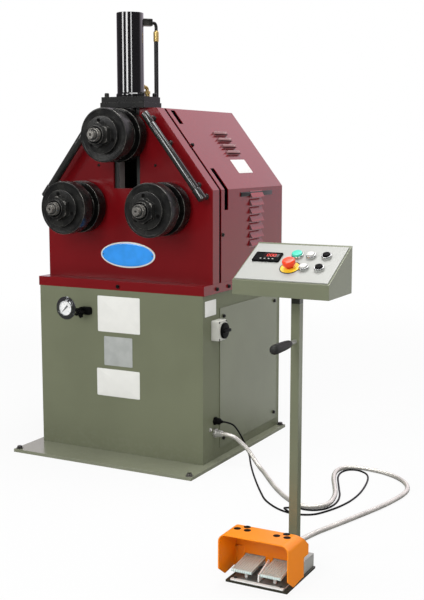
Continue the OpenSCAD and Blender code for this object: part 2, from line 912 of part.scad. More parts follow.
module port_fitting(reach, turn, z) {
    start = sqrt(pow(barrel_d / 2, 2) - pow(port_nut_d / 2, 2));
    difference() {
        translate([0, cyl_y, z]) rotate([0, 0, turn]) {
            rotate([0, 90, 0]) translate([0, 0, start]) cylinder(d = port_nut_d,
                h = barrel_d / 2 + port_nut_l - start, $fn = 6);
            bar_x(port_d, [start, reach], 0, 0);
            translate([reach, 0, 0]) sphere(d = port_d);
            bar_z(port_d, reach, 0, [-port_elbow_drop, 0]);
        }
        bar_z(barrel_d, 0, cyl_y, [z_barrel - overrun, z_barrel_top + overrun]);
    }
}

module port_fittings() {
    color([0.55, 0.45, 0.22]) {
        port_fitting(port_reach_high, port_high_turn, z_port_high);
        port_fitting(port_reach_low, port_low_turn, z_port_low);
        bar_z(ferrule_d, port_high[0], port_high[1],
            [z_port_high - port_elbow_drop - ferrule_l, z_port_high - port_elbow_drop]);
    }
}

module pressure_hose() {
    color(black_plastic) {
        bar_z(hose_d, port_high[0], port_high[1],
            [z_head - hose_in, z_port_high - port_elbow_drop - ferrule_l]);
        bar_z(hose_d, port_low[0], port_low[1], [z_head - hose_in, z_port_low - port_elbow_drop]);
    }
}

module guide_rods() {
    r = guide_rod_d / 2;
    end_r = rod_end_d / 2;
    groove_r = rod_groove_d / 2;
    low = rod_l - rod_end_l;
    rod_profile = [
        [0, 0], [r, 0], [r, rod_end_l], [groove_r, rod_end_l], [groove_r, rod_end_l + rod_groove_l],
        [r, rod_end_l + rod_groove_l], [r, low - rod_groove_l], [groove_r, low - rod_groove_l],
        [groove_r, low], [end_r, low], [end_r, rod_l], [0, rod_l]
    ];
    color(steel) both_sides()
        translate([half_head - guide_rod_inset * slope_cos, y_rod, z_head - guide_rod_inset * slope_sin])
        rotate([0, 90 + acos(slope_sin), 0]) {
            rotate_extrude() polygon(rod_profile);
            for (share = standoff_shares) translate([0, 0, share * rod_l]) {
                bar_y(standoff_d, 0, [0, guide_rod_off], 0);
                bar_y(standoff_foot_d, 0, [guide_rod_off - standoff_foot_t, guide_rod_off], 0);
            }
        }
}

module ram_block() {
    nose_half = slot_w / 2 - gib_w - slide_clear;
    z_ram = [top_z - ram_down, ram_top];
    color(black_oxide) difference() {
        union() {
            slab([-nose_half, nose_half], [y_ram, y_ram_back], z_ram);
            slab([-ram_body_w / 2, ram_body_w / 2], [y_ram_body, y_ram_back], z_ram);
        }
        bar_y(shaft_d + 2 * run_clear, 0, [y_ram - overrun, y_ram_back + overrun], top_z);
    }
}

module piston_rod() {
    color(steel) {
        bar_z(piston_rod_d, 0, cyl_y, [ram_top, z_piston_top]);
        bar_z(barrel_bore - 2 * run_clear, 0, cyl_y, [z_piston_top - piston_t, z_piston_top]);
    }
}

// Bending rolls: a shaft from its nose to its tail, two discs and a flanged nut
module roll_shaft(x, z, y_tail) {
    color(black_oxide) difference() {
        union() {
            bar_y(shaft_d, x, [y_collar, y_tail], z);
            bar_y(shoulder_d, x, [y_roll_in, y_roll_in + shoulder_l], z);
            bar_y(nose_d, x, [y_nose, y_collar], z);
            bar_y(tip_d, x, [y_tip, y_nose], z);
        }
        bar_y(centre_d, x, [y_tip - overrun, y_tip + centre_depth], z);
    }
}

module inner_disc(x, z) {
    bore = shaft_d / 2 + seat_clear;
    r = roll_od / 2;
    color(black_oxide) turned_y([
        [bore, y_roll_in], [r - roll_chamfer, y_roll_in], [r, y_roll_in - roll_chamfer],
        [r, y_hub + roll_chamfer], [r - roll_chamfer, y_hub], [hub_d / 2, y_hub],
        [hub_d / 2, y_outer], [bore, y_outer]
    ], x, z);
}

module outer_disc(x, z) {
    bore = shaft_d / 2 + seat_clear;
    r = roll_od / 2;
    color(black_oxide) turned_y([
        [bore, y_outer], [r - roll_chamfer, y_outer], [r, y_outer - roll_chamfer],
        [r, y_roll_out + roll_chamfer], [r - roll_chamfer, y_roll_out], [bore, y_roll_out]
    ], x, z);
}

module flanged_nut(x, z) {
    color(black_oxide) difference() {
        union() {
            bar_y(nut_flange_d, x, [y_nut, y_roll_out], z);
            translate([x, y_nut_out, z]) rotate([-90, 0, 0])
                cylinder(d = nut_flats / cos(30), h = nut_t, $fn = 6);
            bar_y(nut_collar_d, x, [y_collar, y_nut_out], z);
        }
        bar_y(shaft_d + 2 * seat_clear, x, [y_collar - overrun, y_roll_out + overrun], z);
        for (i = [0:nut_screws - 1]) translate([x, 0, z]) rotate([0, 360 * i / nut_screws, 0])
            bar_y(nut_screw_d, 0, [y_nut - overrun, y_nut + nut_screw_depth], nut_screw_r);
    }
}

module left_shaft() roll_shaft(-roll_x, roll_z, y_gear_back + shaft_tail);
module left_inner_disc() inner_disc(-roll_x, roll_z);
module left_outer_disc() outer_disc(-roll_x, roll_z);
module left_nut() flanged_nut(-roll_x, roll_z);
module right_shaft() roll_shaft(roll_x, roll_z, y_gear_back + shaft_tail);
module right_inner_disc() inner_disc(roll_x, roll_z);
module right_outer_disc() outer_disc(roll_x, roll_z);
module right_nut() flanged_nut(roll_x, roll_z);
module top_inner_disc() inner_disc(0, top_z);
module top_outer_disc() outer_disc(0, top_z);
module top_nut() flanged_nut(0, top_z);

// The top shaft ends in a collar behind the ram block
module top_shaft() {
    roll_shaft(0, top_z, y_ram_back + slide_clear);
    color(black_oxide)
        bar_y(shoulder_d, 0, [y_ram_back + slide_clear, y_ram_back + ram_end_t], top_z);
}

// Gear train between the lower shafts: a pinion tooth points left and a gap points right
module spur_gear(x, teeth, turn, bore) {
    color(steel) difference() {
        union() {
            translate([x, 0, roll_z]) along_y([y_gear, y_gear_back]) gear_outline(teeth, turn);
            bar_y(gear_hub_d, x, [y_gear - gear_hub_l, y_gear], roll_z);
        }
        bar_y(bore, x, [y_gear - gear_hub_l - overrun, y_gear_back + overrun], roll_z);
    }
}

module left_gear() spur_gear(-roll_x, gear_teeth, 180 / gear_teeth, shaft_d + 2 * seat_clear);
module right_gear() spur_gear(roll_x, gear_teeth, 180, shaft_d + 2 * seat_clear);

module drive_pinion() {
    color(steel) {
        translate([0, 0, roll_z]) along_y([y_gear, y_gear_back]) gear_outline(pinion_teeth, 180);
        bar_y(pinion_shaft_d, 0, [y_gear_back, y_gearbox + gearbox_d / 2], roll_z);
    }
}

// Gauge: case with a three-tab flange, and its pointer on a pin
module gauge_case() {
    y_dial = y_front - gauge_bezel_t + gauge_dial_depth;
    color([0.75, 0.76, 0.76]) {
        difference() {
            union() {
                bar_y(gauge_case_d, gauge_x, [y_front, y_front + gauge_case_l], gauge_z);
                bar_y(gauge_flange_d, gauge_x, [y_front - gauge_flange_t, y_front], gauge_z);
                bar_y(gauge_bezel_d, gauge_x, [y_front - gauge_bezel_t, y_front], gauge_z);
                for (i = [0:gauge_tabs - 1]) translate([gauge_x, 0, gauge_z])
                    rotate([0, 360 * i / gauge_tabs, 0])
                    bar_y(gauge_tab_d, 0, [y_front - gauge_flange_t, y_front], gauge_tab_r);
            }
            bar_y(gauge_dial_d, gauge_x, [y_front - gauge_bezel_t - overrun, y_dial], gauge_z);
        }
        bar_y(gauge_pin_d, gauge_x, [y_dial - gauge_pin_l, y_dial], gauge_z);
    }
}

module gauge_needle() {
    y_needle = y_front - gauge_bezel_t + gauge_dial_depth - needle_gap;
    color(black_plastic) translate([gauge_x, 0, gauge_z]) rotate([0, needle_rest, 0])
        difference() {
            union() {
                bar_y(needle_hub_d, 0, [y_needle - needle_t, y_needle], 0);
                slab([-needle_w / 2, needle_w / 2], [y_needle - needle_t, y_needle],
                    [-needle_l, needle_tail]);
            }
            bar_y(gauge_pin_d + 2 * run_clear, 0, [y_needle - needle_t - overrun, y_needle + overrun], 0);
        }
}

module valve_knob() {
    y_knob = y_front - valve_knob_off;
    color(black_plastic) {
        bar_y(valve_stem_d, valve_x, [y_knob, y_front + valve_stem_l], valve_z);
        bar_y(valve_collar_d, valve_x, [y_front - valve_collar_gap - valve_collar_t,
            y_front - valve_collar_gap], valve_z);
        bar_y(valve_knob_d, valve_x, [y_knob - valve_knob_t, y_knob], valve_z);
        for (i = [0:valve_lobes - 1]) translate([valve_x, 0, valve_z])
            rotate([0, 360 * i / valve_lobes, 0])
            bar_y(valve_lobe_d, 0, [y_knob - valve_knob_t, y_knob], valve_lobe_r);
    }
}

module isolator_body() {
    y_half = isolator_w / 2;
    z_half = isolator_h / 2;
    x_face = x_side + isolator_t;
    color([0.72, 0.73, 0.70]) difference() {
        union() {
            slab([x_side, x_face - isolator_lip], [isolator_y - y_half, isolator_y + y_half],
                [isolator_z - z_half, isolator_z + z_half]);
            slab([x_side, x_face],
                [isolator_y - y_half + isolator_lip_in, isolator_y + y_half - isolator_lip_in],
                [isolator_z - z_half + isolator_lip_in, isolator_z + z_half - isolator_lip_in]);
        }
        bar_x(isolator_shaft_d + 2 * run_clear, [x_face - isolator_shaft_in - overrun, x_face + overrun],
            isolator_y, isolator_z);
    }
}

module isolator_knob() {
    x_face = x_side + isolator_t;
    x_knob = x_face + isolator_gap;
    x_grip = x_knob + isolator_knob_t;
    color(black_plastic) {
        bar_x(isolator_shaft_d, [x_face - isolator_shaft_in, x_knob], isolator_y, isolator_z);
        bar_x(isolator_knob_d, [x_knob, x_grip], isolator_y, isolator_z);
        intersection() {
            bar_x(isolator_knob_d, [x_grip, x_grip + isolator_grip_t], isolator_y, isolator_z);
            slab([x_grip, x_grip + isolator_grip_t],
                [isolator_y - isolator_knob_d, isolator_y + isolator_knob_d],
                [isolator_z - isolator_grip_w / 2, isolator_z + isolator_grip_w / 2]);
        }
    }
}

// Cord entries, and the cords from them
module cable_gland() {
    x_cap = x_side + gland_hex_t;
    x_tip = x_cap + gland_cap_l;
    color(black_plastic) difference() {
        union() {
            bar_x(gland_thread_d, [x_side - gland_thread_l, x_side], entry_y, gland_z);
            translate([x_side, entry_y, gland_z]) rotate([0, 90, 0])
                cylinder(d = gland_flats / cos(30), h = gland_hex_t, $fn = 6);
            bar_x(gland_cap_d, [x_cap, x_tip], entry_y, gland_z);
            bar_x(gland_tip_d, [x_tip, x_tip + gland_tip_l], entry_y, gland_z);
        }
    }
}

module conduit_connector() {
    x_body = x_side + connector_hex_t;
    x_ferrule = x_body + connector_body_l;
    color([0.74, 0.74, 0.72]) union() {
        bar_x(connector_thread_d, [x_side - gland_thread_l, x_side], entry_y, connector_z);
        translate([x_side, entry_y, connector_z]) rotate([0, 90, 0])
            cylinder(d = connector_flats / cos(30), h = connector_hex_t, $fn = 6);
        bar_x(connector_body_d, [x_body, x_ferrule], entry_y, connector_z);
        bar_x(connector_ferrule_d, [x_ferrule, x_ferrule + connector_ferrule_l], entry_y, connector_z);
    }
}

module control_cable() {
    color(black_plastic) swept_tube(cable_route, cable_d, cable_sides);
}

module pedal_conduit() {
    color([0.80, 0.80, 0.78]) swept_tube(conduit_route, conduit_d, conduit_sides);
}

// Stand: floor plate with a narrow neck, square post and the stud of the handle
module stand() {
    half = post_w / 2;
    inner = half - post_wall;
    y_stud = post_y - half;
    color(olive) difference() {
        union() {
            slab([stand_x - stand_w / 2, stand_x + stand_w / 2], [stand_y, stand_y + stand_plate_d],
                [0, stand_t]);
            slab([post_x - stand_neck_w / 2, post_x + stand_neck_w / 2],
                [stand_y + stand_plate_d - overrun, stand_y + stand_d], [0, stand_t]);
            slab([post_x - half, post_x + half], [post_y - half, post_y + half], [0, console_z]);
            bar_y(handle_stud_d, post_x, [y_stud - handle_stud_l, post_y], handle_z);
        }
        slab([post_x - inner, post_x + inner], [post_y - inner, post_y + inner],
            [stand_t, console_z + overrun]);
        bar_y(cable_entry_d, post_x, [post_y, post_y + half + overrun], cable_entry_z);
    }
}

module handle_grip() {
    y_stud = post_y - post_w / 2 - handle_stud_l;
    r = handle_grip_d / 2;
    neck = handle_neck_d / 2;
    y_ball = y_stud - handle_grip_l + r;
    ball = [for (i = [0:handle_end_steps])
        let (a = 90 * i / handle_end_steps) [r * cos(a), y_ball - r * sin(a)]];
    color(black_plastic) turned_y(concat(
        [[0, y_stud], [neck - handle_edge, y_stud], [neck, y_stud - handle_edge]], ball
    ), post_x, handle_z);
}

// Console side view, drawn in by a wall thickness t
module console_side(t) {
    y0 = console_y + t;
    y1 = console_y + console_d - t;
    drop = t / cos(console_slope);
    rise = tan(console_slope);
    polygon([
        [y0, console_z + t], [y1, console_z + t],
        [y1, console_z + console_back - t * rise - drop], [y0, console_z + console_lip + t * rise - drop]
    ]);
}

// A place on the console's slanted face: along X, up the slope, and out of the face
module on_console() {
    translate([console_x, console_y, console_z + console_lip]) rotate([console_slope, 0, 0]) children();
}

module on_panel(shares) {
    on_console() translate([panel_in + panel_w * shares[0], panel_in + panel_l * shares[1], panel_t])
        children();
}

module console_box() {
    color(olive) difference() {
        along_x([console_x, console_x + console_w]) console_side(0);
        along_x([console_x + console_t, console_x + console_w - console_t]) console_side(console_t);
        on_console() slab([panel_in + panel_lap, panel_in + panel_w - panel_lap],
            [panel_in + panel_lap, panel_in + panel_l - panel_lap], [-2 * console_t, overrun]);
    }
}

module panel_holes() {
    z_cut = [-panel_t - overrun, bezel_t + estop_collar_t + overrun];
    for (shares = [estop_shares, white_front_shares, white_rear_shares, black_front_shares,
            black_rear_shares])
        on_panel(shares) bar_z(button_d + 2 * slide_clear, 0, 0, z_cut);
    on_panel(start_shares) bar_z(start_d + 2 * slide_clear, 0, 0, z_cut);
}

module console_panel() {
    color([0.84, 0.84, 0.82]) difference() {
        on_console() slab([panel_in, panel_in + panel_w], [panel_in, panel_in + panel_l], [0, panel_t]);
        panel_holes();
        on_panel(meter_shares) slab([meter_body_in - meter_w / 2, meter_w / 2 - meter_body_in],
            [meter_body_in - meter_h / 2, meter_h / 2 - meter_body_in], [-panel_t - overrun, overrun]);
    }
}

module panel_meter() {
    body = meter_body_in + seat_clear;
    color(black_plastic) on_panel(meter_shares) {
        slab([-meter_w / 2, meter_w / 2], [-meter_h / 2, meter_h / 2], [0, meter_t]);
        slab([body - meter_w / 2, meter_w / 2 - body], [body - meter_h / 2, meter_h / 2 - body],
            [-meter_body_l, 0]);
    }
}

module button_bezels() {
    color([0.82, 0.82, 0.82]) difference() {
        union() {
            for (shares = [white_front_shares, white_rear_shares, black_front_shares,
                    black_rear_shares])
                on_panel(shares) bar_z(bezel_d, 0, 0, [0, bezel_t]);
            on_panel(start_shares) bar_z(start_bezel_d, 0, 0, [0, bezel_t]);
            on_panel(estop_shares) bar_z(estop_collar_d, 0, 0, [0, estop_collar_t]);
        }
        panel_holes();
    }
}

// A push button: a plain plunger with a rounded edge at its crown
module plunger(d, rise) {
    r = d / 2;
    top = bezel_t + rise;
    rotate_extrude() polygon([
        [0, -button_fall], [r, -button_fall], [r, top - button_edge], [r - button_edge, top], [0, top]
    ]);
}

module start_button() color([0.20, 0.78, 0.66]) on_panel(start_shares) plunger(start_d, start_rise);
module white_button_front() color([0.88, 0.86, 0.85])
    on_panel(white_front_shares) plunger(button_d, button_rise);
module white_button_rear() color([0.86, 0.88, 0.86])
    on_panel(white_rear_shares) plunger(button_d, button_rise);
module black_button_front() color(black_plastic)
    on_panel(black_front_shares) plunger(button_d, button_rise);
module black_button_rear() color(black_plastic)
    on_panel(black_rear_shares) plunger(button_d, button_rise);

module estop_button() {
    r = estop_head_d / 2;
    low = estop_collar_t + estop_head_gap;
    top = low + estop_head_t;
    neck = button_d / 2;
    color([0.86, 0.16, 0.08]) on_panel(estop_shares) rotate_extrude() polygon([
        [0, -button_fall], [neck, -button_fall], [neck, low - button_edge], [r - button_edge, low],
        [r, low + button_edge], [r, top - 3 * button_edge], [r - button_edge, top - button_edge],
        [r - 3 * button_edge, top], [0, top]
    ]);
}

// Foot pedal: base with switch box, hinge lugs, divider and stops
module pedal_base() {
    half = pedal_base_w / 2;
    lug_x = pedal_off + pedal_w / 2 + pedal_lug_gap;
    y_divider = y_guard + guard_tip_y;
    z_box = z_pedal + switch_box_h;
    color(grey_cast) difference() {
        union() {
            slab([stand_x - half, stand_x + half], [stand_y + pedal_base_in, y_box_back],
                [stand_t, z_pedal]);
            slab([stand_x - switch_box_w / 2, stand_x + switch_box_w / 2], [y_box, y_box_back],
                [stand_t, z_box]);
            bar_y(switch_boss_d, boss_x, [y_box_back, y_boss], boss_z);
            along_x([stand_x - divider_t / 2, stand_x + divider_t / 2]) polygon([
                [y_divider, z_pedal], [y_box, z_pedal], [y_box, z_pedal + divider_back_h],
                [y_pin, z_pedal + divider_back_h], [y_divider, z_pedal + divider_front_h]
            ]);
            for (side = [-1, 1]) {
                x = stand_x + side * (lug_x + pedal_lug_t / 2);
                along_x([x - pedal_lug_t / 2, x + pedal_lug_t / 2]) {
                    translate([y_pin, z_pin]) circle(d = pedal_knuckle_d);
                    polygon([
                        [y_pin, z_pin + pedal_knuckle_d / 2], [y_box, z_pin + pedal_knuckle_d / 2],
                        [y_box, z_pedal], [y_pin - pedal_knuckle_d / 2, z_pedal],
                        [y_pin - pedal_knuckle_d / 2, z_pin]
                    ]);
                }
                bar_z(stop_d, stand_x + side * pedal_off, y_pin - pedal_l * stop_share,
                    [stand_t, z_pedal + stop_h]);
                x_bracket = stand_x + side * bracket_off;
                slab([x_bracket - bracket_w / 2, x_bracket + bracket_w / 2],
                    [y_guard + guard_d, y_box + bracket_d], [z_box, guard_notch_z + bracket_lap]);
            }
        }
        bar_x(pedal_pin_d + 2 * seat_clear, [stand_x - guard_w, stand_x + guard_w], y_pin, z_pin);
    }
}

module pedal_pin() {
    reach = pedal_off + pedal_w / 2 + pedal_lug_gap + pedal_lug_t;
    color(steel) bar_x(pedal_pin_d, [stand_x - reach, stand_x + reach], y_pin, z_pin);
}

// One pedal: a ribbed plate that falls towards its rolled front lip, on a knuckle round the pin
module pedal(side) {
    x0 = stand_x + side * pedal_off - pedal_w / 2;
    y_lip = y_pin - pedal_l;
    fall = pedal_l * pedal_drop_share;
    rib_pitch = pedal_w / pedal_ribs;
    z_top = z_pin + pedal_knuckle_d / 2;
    color(grey_cast) difference() {
        along_x([x0, x0 + pedal_w]) {
            translate([y_pin, z_pin]) circle(d = pedal_knuckle_d);
            polygon([
                [y_pin, z_top], [y_lip, z_top - fall], [y_lip, z_top - fall - pedal_t],
                [y_pin, z_top - pedal_t]
            ]);
            translate([y_lip, z_top - fall - pedal_lip_d / 2]) circle(d = pedal_lip_d);
        }
        bar_x(pedal_pin_d + 2 * run_clear, [x0 - overrun, x0 + pedal_w + overrun], y_pin, z_pin);
        for (i = [1:pedal_ribs - 1])
            translate([x0 + i * rib_pitch, y_pin, z_top]) rotate([atan(pedal_drop_share), 0, 0])
            slab([-pedal_rib / 2, pedal_rib / 2], [-pedal_l, -pedal_knuckle_d], [-pedal_rib, pedal_rib]);
    }
}

module left_pedal() pedal(-1);
module right_pedal() pedal(1);

// Guard: a hood with rounded upper edges, a slanted back, pointed side skirts and an inner wall
// that closes it down to the pedals
module guard_front(t) {
    half = guard_w / 2 - t;
    r = guard_r - t;
    top = guard_h - t;
    translate([stand_x, 0]) {
        translate([-half, 0]) square([2 * half, top - r]);
        translate([r - half, 0]) square([2 * (half - r), top]);
        for (side = [-1, 1]) translate([side * (half - r), top - r]) circle(r = r);
    }
}

module guard_side(t) {
    y_end = y_guard + guard_d;
    slope = unit([guard_slope_d, guard_slope_h]);
    polygon([
        [y_guard, guard_h - t], [y_guard, guard_lip_z], [y_guard + guard_tip_y, guard_tip_low],
        [y_guard + guard_leg_d, guard_leg_low], [y_guard + guard_leg_d, guard_notch_z],
        [y_end - t, guard_notch_z],
        [y_end - t, guard_h - guard_slope_h - t * (1 - slope[1]) / slope[0]],
        [y_end - guard_slope_d - t * (1 - slope[0]) / slope[1], guard_h - t]
    ]);
}

module guard_shell() {
    y_end = y_guard + guard_d;
    difference() {
        intersection() {
            along_y([y_guard, y_end]) guard_front(0);
            along_x([stand_x - guard_w, stand_x + guard_w]) guard_side(0);
        }
        intersection() {
            along_y([y_guard - overrun, y_end]) guard_front(guard_t);
            along_x([stand_x - guard_w, stand_x + guard_w]) union() {
                guard_side(guard_t);
                translate([y_guard - overrun, 0])
                    square([guard_d - guard_slope_d, guard_h - guard_t]);
                translate([y_guard, 0]) square([guard_d - guard_t, guard_notch_z + overrun]);
            }
        }
    }
}

module guard_inner_wall() {
    y_wall = y_guard + guard_wall_y;
    back = guard_d - guard_wall_y - guard_t;
    top = guard_h - guard_slope_h + back * guard_slope_h / guard_slope_d;
    intersection() {
        along_y([y_wall, y_wall + guard_t]) guard_front(guard_t / 2);
        slab([stand_x - guard_w, stand_x + guard_w], [y_wall, y_wall + guard_t], [guard_sill_z, top]);
    }
}

module pedal_guard() {
    y_hole = y_guard + guard_hole_y;
    z_cut = [guard_h - 2 * guard_t, guard_h + overrun];
    color([0.95, 0.52, 0.10]) difference() {
        union() {
            guard_shell();
            guard_inner_wall();
        }
        for (side = [-1, 1]) {
            x = stand_x + side * guard_hole_off;
            for (step = [-guard_hole_step, guard_hole_step]) bar_z(guard_hole_d, x + step, y_hole, z_cut);
            bar_z(guard_hole_d, x + guard_hole_shift, y_hole + guard_hole_gap, z_cut);
        }
    }
}

base_plate();
cabinet_shell();
side_access_panel();
top_skirt();
front_plate();
rear_plate();
housing_shell();
gib_strips();
shaft_bearings();
drive_motor();
hydraulic_unit();
mount_plate();
cylinder_flange();
cylinder_barrel();
port_fittings();
pressure_hose();
guide_rods();
ram_block();
piston_rod();
left_shaft();
left_inner_disc();
left_outer_disc();
left_nut();
right_shaft();
right_inner_disc();
right_outer_disc();
right_nut();
top_shaft();
top_inner_disc();
top_outer_disc();
top_nut();
left_gear();
right_gear();
drive_pinion();
gauge_case();
gauge_needle();
valve_knob();
isolator_body();
isolator_knob();
cable_gland();
conduit_connector();
control_cable();
pedal_conduit();
stand();
handle_grip();
console_box();
console_panel();
panel_meter();
button_bezels();
estop_button();
start_button();
white_button_front();
white_button_rear();
black_button_front();
black_button_rear();
pedal_base();
pedal_guard();
pedal_pin();
left_pedal();
right_pedal();
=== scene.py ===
"""Look of the angle roll bender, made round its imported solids.

The frame is the part's own, in metres: the floor is z = 0, the rolls face -Y and the control stand
is at the front right. Sizes are written in millimetres, outlines and profiles too, and mm(),
mm_points(), lathe() and slab() turn them into metres.
"""
import json
import math

import bmesh
import bpy
import numpy as np
from mathutils import Matrix, Vector


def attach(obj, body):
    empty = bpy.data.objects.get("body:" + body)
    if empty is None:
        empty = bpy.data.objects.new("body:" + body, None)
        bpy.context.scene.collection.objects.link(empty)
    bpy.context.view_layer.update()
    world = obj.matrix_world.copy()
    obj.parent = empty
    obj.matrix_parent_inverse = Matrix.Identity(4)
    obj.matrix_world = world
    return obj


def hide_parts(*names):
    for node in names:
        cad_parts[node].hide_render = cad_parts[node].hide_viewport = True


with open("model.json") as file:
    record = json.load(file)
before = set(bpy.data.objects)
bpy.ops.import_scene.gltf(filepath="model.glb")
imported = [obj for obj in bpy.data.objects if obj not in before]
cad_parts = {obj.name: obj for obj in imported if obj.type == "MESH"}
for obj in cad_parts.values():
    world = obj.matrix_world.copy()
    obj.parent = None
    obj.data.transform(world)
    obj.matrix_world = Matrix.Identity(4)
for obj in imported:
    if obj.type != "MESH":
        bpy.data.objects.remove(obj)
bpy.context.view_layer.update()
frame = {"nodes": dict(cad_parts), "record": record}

MM = 0.001
TURN = 2 * math.pi
UP, LEFT, RIGHT = (0, 0, 1), (-1, 0, 0), (1, 0, 0)
FRONT, BACK = (0, -1, 0), (0, 1, 0)

# Faces that carry pieces, in millimetres
CABINET_FRONT, FRONT_PLATE = -262, -192
CABINET_SIDE, PANEL_SIDE, COVER_SIDE, BAND_SIDE = 358, 361, 362, 363
FLOOR_PLATE_TOP, MOUNT_TOP = 12, 1346


def mm(*values):
    """Millimetres as metres, one length or several."""
    scaled = np.array(values, float) * MM
    return scaled if len(values) > 1 else float(scaled[0])


def mm_points(*points):
    """Points in millimetres as metres."""
    return np.array(points, float) * MM


def unit(vector):
    """Vectors of length one along the last axis."""
    vector = np.asarray(vector, float)
    return vector / np.linalg.norm(vector, axis=-1, keepdims=True)


def add_camera():
    """A camera at the photograph's place, with its angle of view."""
    data = bpy.data.cameras.new("camera")
    data.lens, data.sensor_width = 62.26, 36
    camera = bpy.data.objects.new("camera", data)
    camera.location = (2.0908, -3.4915, 1.145)
    camera.rotation_euler = (math.radians(81.88), 0, math.radians(27.70))
    bpy.context.scene.collection.objects.link(camera)
    bpy.context.scene.camera = camera


def round_angles(sides):
    """Angles of points evenly round a circle."""
    return np.linspace(0, TURN, sides, endpoint=False)


# Shapes are pairs of arrays: points, and quads of point numbers
def grid_quads(rows, columns, loop):
    """Quads between neighbours on a grid whose columns close on themselves."""
    r = np.arange(rows if loop else rows - 1)[:, None]
    c = np.arange(columns)[None, :]
    below, beside = (r + 1) % rows, (c + 1) % columns
    corners = (r * columns + c, r * columns + beside, below * columns + beside, below * columns + c)
    return np.stack(np.broadcast_arrays(*corners), -1).reshape(-1, 4)


def skin(rings, loop=False):
    """A surface over rings of points; its ends close on the middle of the end rings."""
    rings = np.asarray(rings, float)
    if not loop:
        ends = np.broadcast_to(rings[[0, -1]].mean(axis=1, keepdims=True), rings[:2].shape)
        rings = np.concatenate([ends[:1], rings, ends[1:]])
    return rings.reshape(-1, 3), grid_quads(*rings.shape[:2], loop)


def softened(corners, cut, steps, closed):
    """A profile whose corners are parabolas, each from a cut before the corner to a cut after."""
    p = np.asarray(corners, float)
    if closed:
        before, at, after = np.roll(p, 1, 0), p, np.roll(p, -1, 0)
    else:
        before, at, after = p[:-2], p[1:-1], p[2:]
    back, on = before - at, after - at
    near = np.linalg.norm(back, axis=1)[:, None]
    far = np.linalg.norm(on, axis=1)[:, None]
    reach = np.minimum(cut, 0.45 * np.minimum(near, far))
    first, last = at + back * reach / near, at + on * reach / far
    t = np.linspace(0, 1, steps)[None, :, None]
    bend = (1 - t) ** 2 * first[:, None] + 2 * t * (1 - t) * at[:, None] + t**2 * last[:, None]
    bend = bend.reshape(-1, p.shape[1])
    return bend if closed else np.vstack([p[:1], bend, p[-1:]])


def lathe(profile, cut, sides=32, loop=False, flats=0.0, steps=4):
    """A profile (radius, height) turned about Z: x = r cos a, y = r sin a, z = h.

    A cut softens its corners, and a loop is a ring. With flats, the radius stays inside a hexagon:
    r <= flats / 2 / cos(angle from the flat)."""
    if cut:
        profile = softened(profile, cut, steps, loop)
    r, h = np.asarray(profile, float).T
    a = round_angles(sides)
    reach = np.outer(r, np.ones(sides))
    if flats:
        off = (a + TURN / 12) % (TURN / 6) - TURN / 12
        reach = np.minimum(reach, flats / 2 / np.cos(off))
    rings = np.stack([reach * np.cos(a), reach * np.sin(a), np.outer(h, np.ones(sides))], -1)
    return skin(rings * MM, loop)


def slab(outline, layers):
    """An outline (x, y) carried through layers (inset, height), drawn in along its normals."""
    outline = np.asarray(outline, float)
    along = np.roll(outline, -1, 0) - np.roll(outline, 1, 0)
    normal = unit(np.stack([along[:, 1], -along[:, 0]], -1))
    inset, height = np.asarray(layers, float).T
    flat = outline[None] - inset[:, None, None] * normal[None]
    lift = np.broadcast_to(height[:, None, None], flat.shape[:2] + (1,))
    return skin(np.concatenate([flat, lift], -1) * MM)


def edged(height, edge, low=0.0, steps=4):
    """Layers of a slab with a rounded upper edge: inset e(1 - cos a), height h - e(1 - sin a)."""
    a = np.linspace(0, TURN / 4, steps)
    round_over = np.stack([edge * (1 - np.cos(a)), height - edge * (1 - np.sin(a))], -1)
    return np.vstack([[0, low], round_over])


def rounded_rectangle(width, depth, corner, steps=5):
    """Four quarter circles about the inset corners of a rectangle."""
    quarter = np.repeat(np.arange(4), steps) * TURN / 4
    a = quarter + np.tile(np.linspace(0, TURN / 4, steps), 4)
    side = np.sign(np.stack([np.cos(quarter + TURN / 8), np.sin(quarter + TURN / 8)], -1))
    centre = side * (np.array([width, depth]) / 2 - corner)
    return centre + corner * np.stack([np.cos(a), np.sin(a)], -1)


def block(width, depth, corner, height, edge, low=0.0):
    """A rounded rectangle raised to a height where its edge rounds over."""
    return slab(rounded_rectangle(width, depth, corner), edged(height, edge, low))


def strip(width, depth, corner, height, steps=5):
    """A thin rounded rectangle with square edges."""
    return slab(rounded_rectangle(width, depth, corner, steps), [(0, 0), (0, height)])


def oval(width, depth, sides=72):
    """An ellipse, half a width along X and half a depth along Y."""
    a = round_angles(sides)
    return np.stack([width / 2 * np.cos(a), depth / 2 * np.sin(a)], -1)


def lobed(radius, lobes, swing, sides=96):
    """A circle whose radius swings as the cosine of a number of lobes."""
    a = round_angles(sides)
    r = radius + swing * np.cos(lobes * a)
    return np.stack([r * np.cos(a), r * np.sin(a)], -1)


def smooth_way(points, spans=10):
    """A way through points: on each span the Catmull-Rom cubic of its four nearest points."""
    p = np.vstack([2 * points[0] - points[1], points, 2 * points[-1] - points[-2]])
    t = np.linspace(0, 1, spans, endpoint=False)[None, :, None]
    p0, p1, p2, p3 = (p[i : len(p) - 3 + i, None] for i in range(4))
    cubic = 2 * p1 + (p2 - p0) * t + (2 * p0 - 5 * p1 + 4 * p2 - p3) * t**2
    cubic = (cubic + (3 * p1 - p0 - 3 * p2 + p3) * t**3) / 2
    return np.vstack([cubic.reshape(-1, 3), points[-1:]])


def measured(way):
    """Distance along a way at each of its points."""
    return np.concatenate([[0], np.cumsum(np.linalg.norm(np.diff(way, axis=0), axis=1))])


def evenly(way, step):
    """The same way with points at equal distances."""
    run = measured(way)
    places = np.linspace(0, run[-1], int(round(run[-1] / step)) + 1)
    return np.stack([np.interp(places, run, way[:, k]) for k in range(3)], -1)


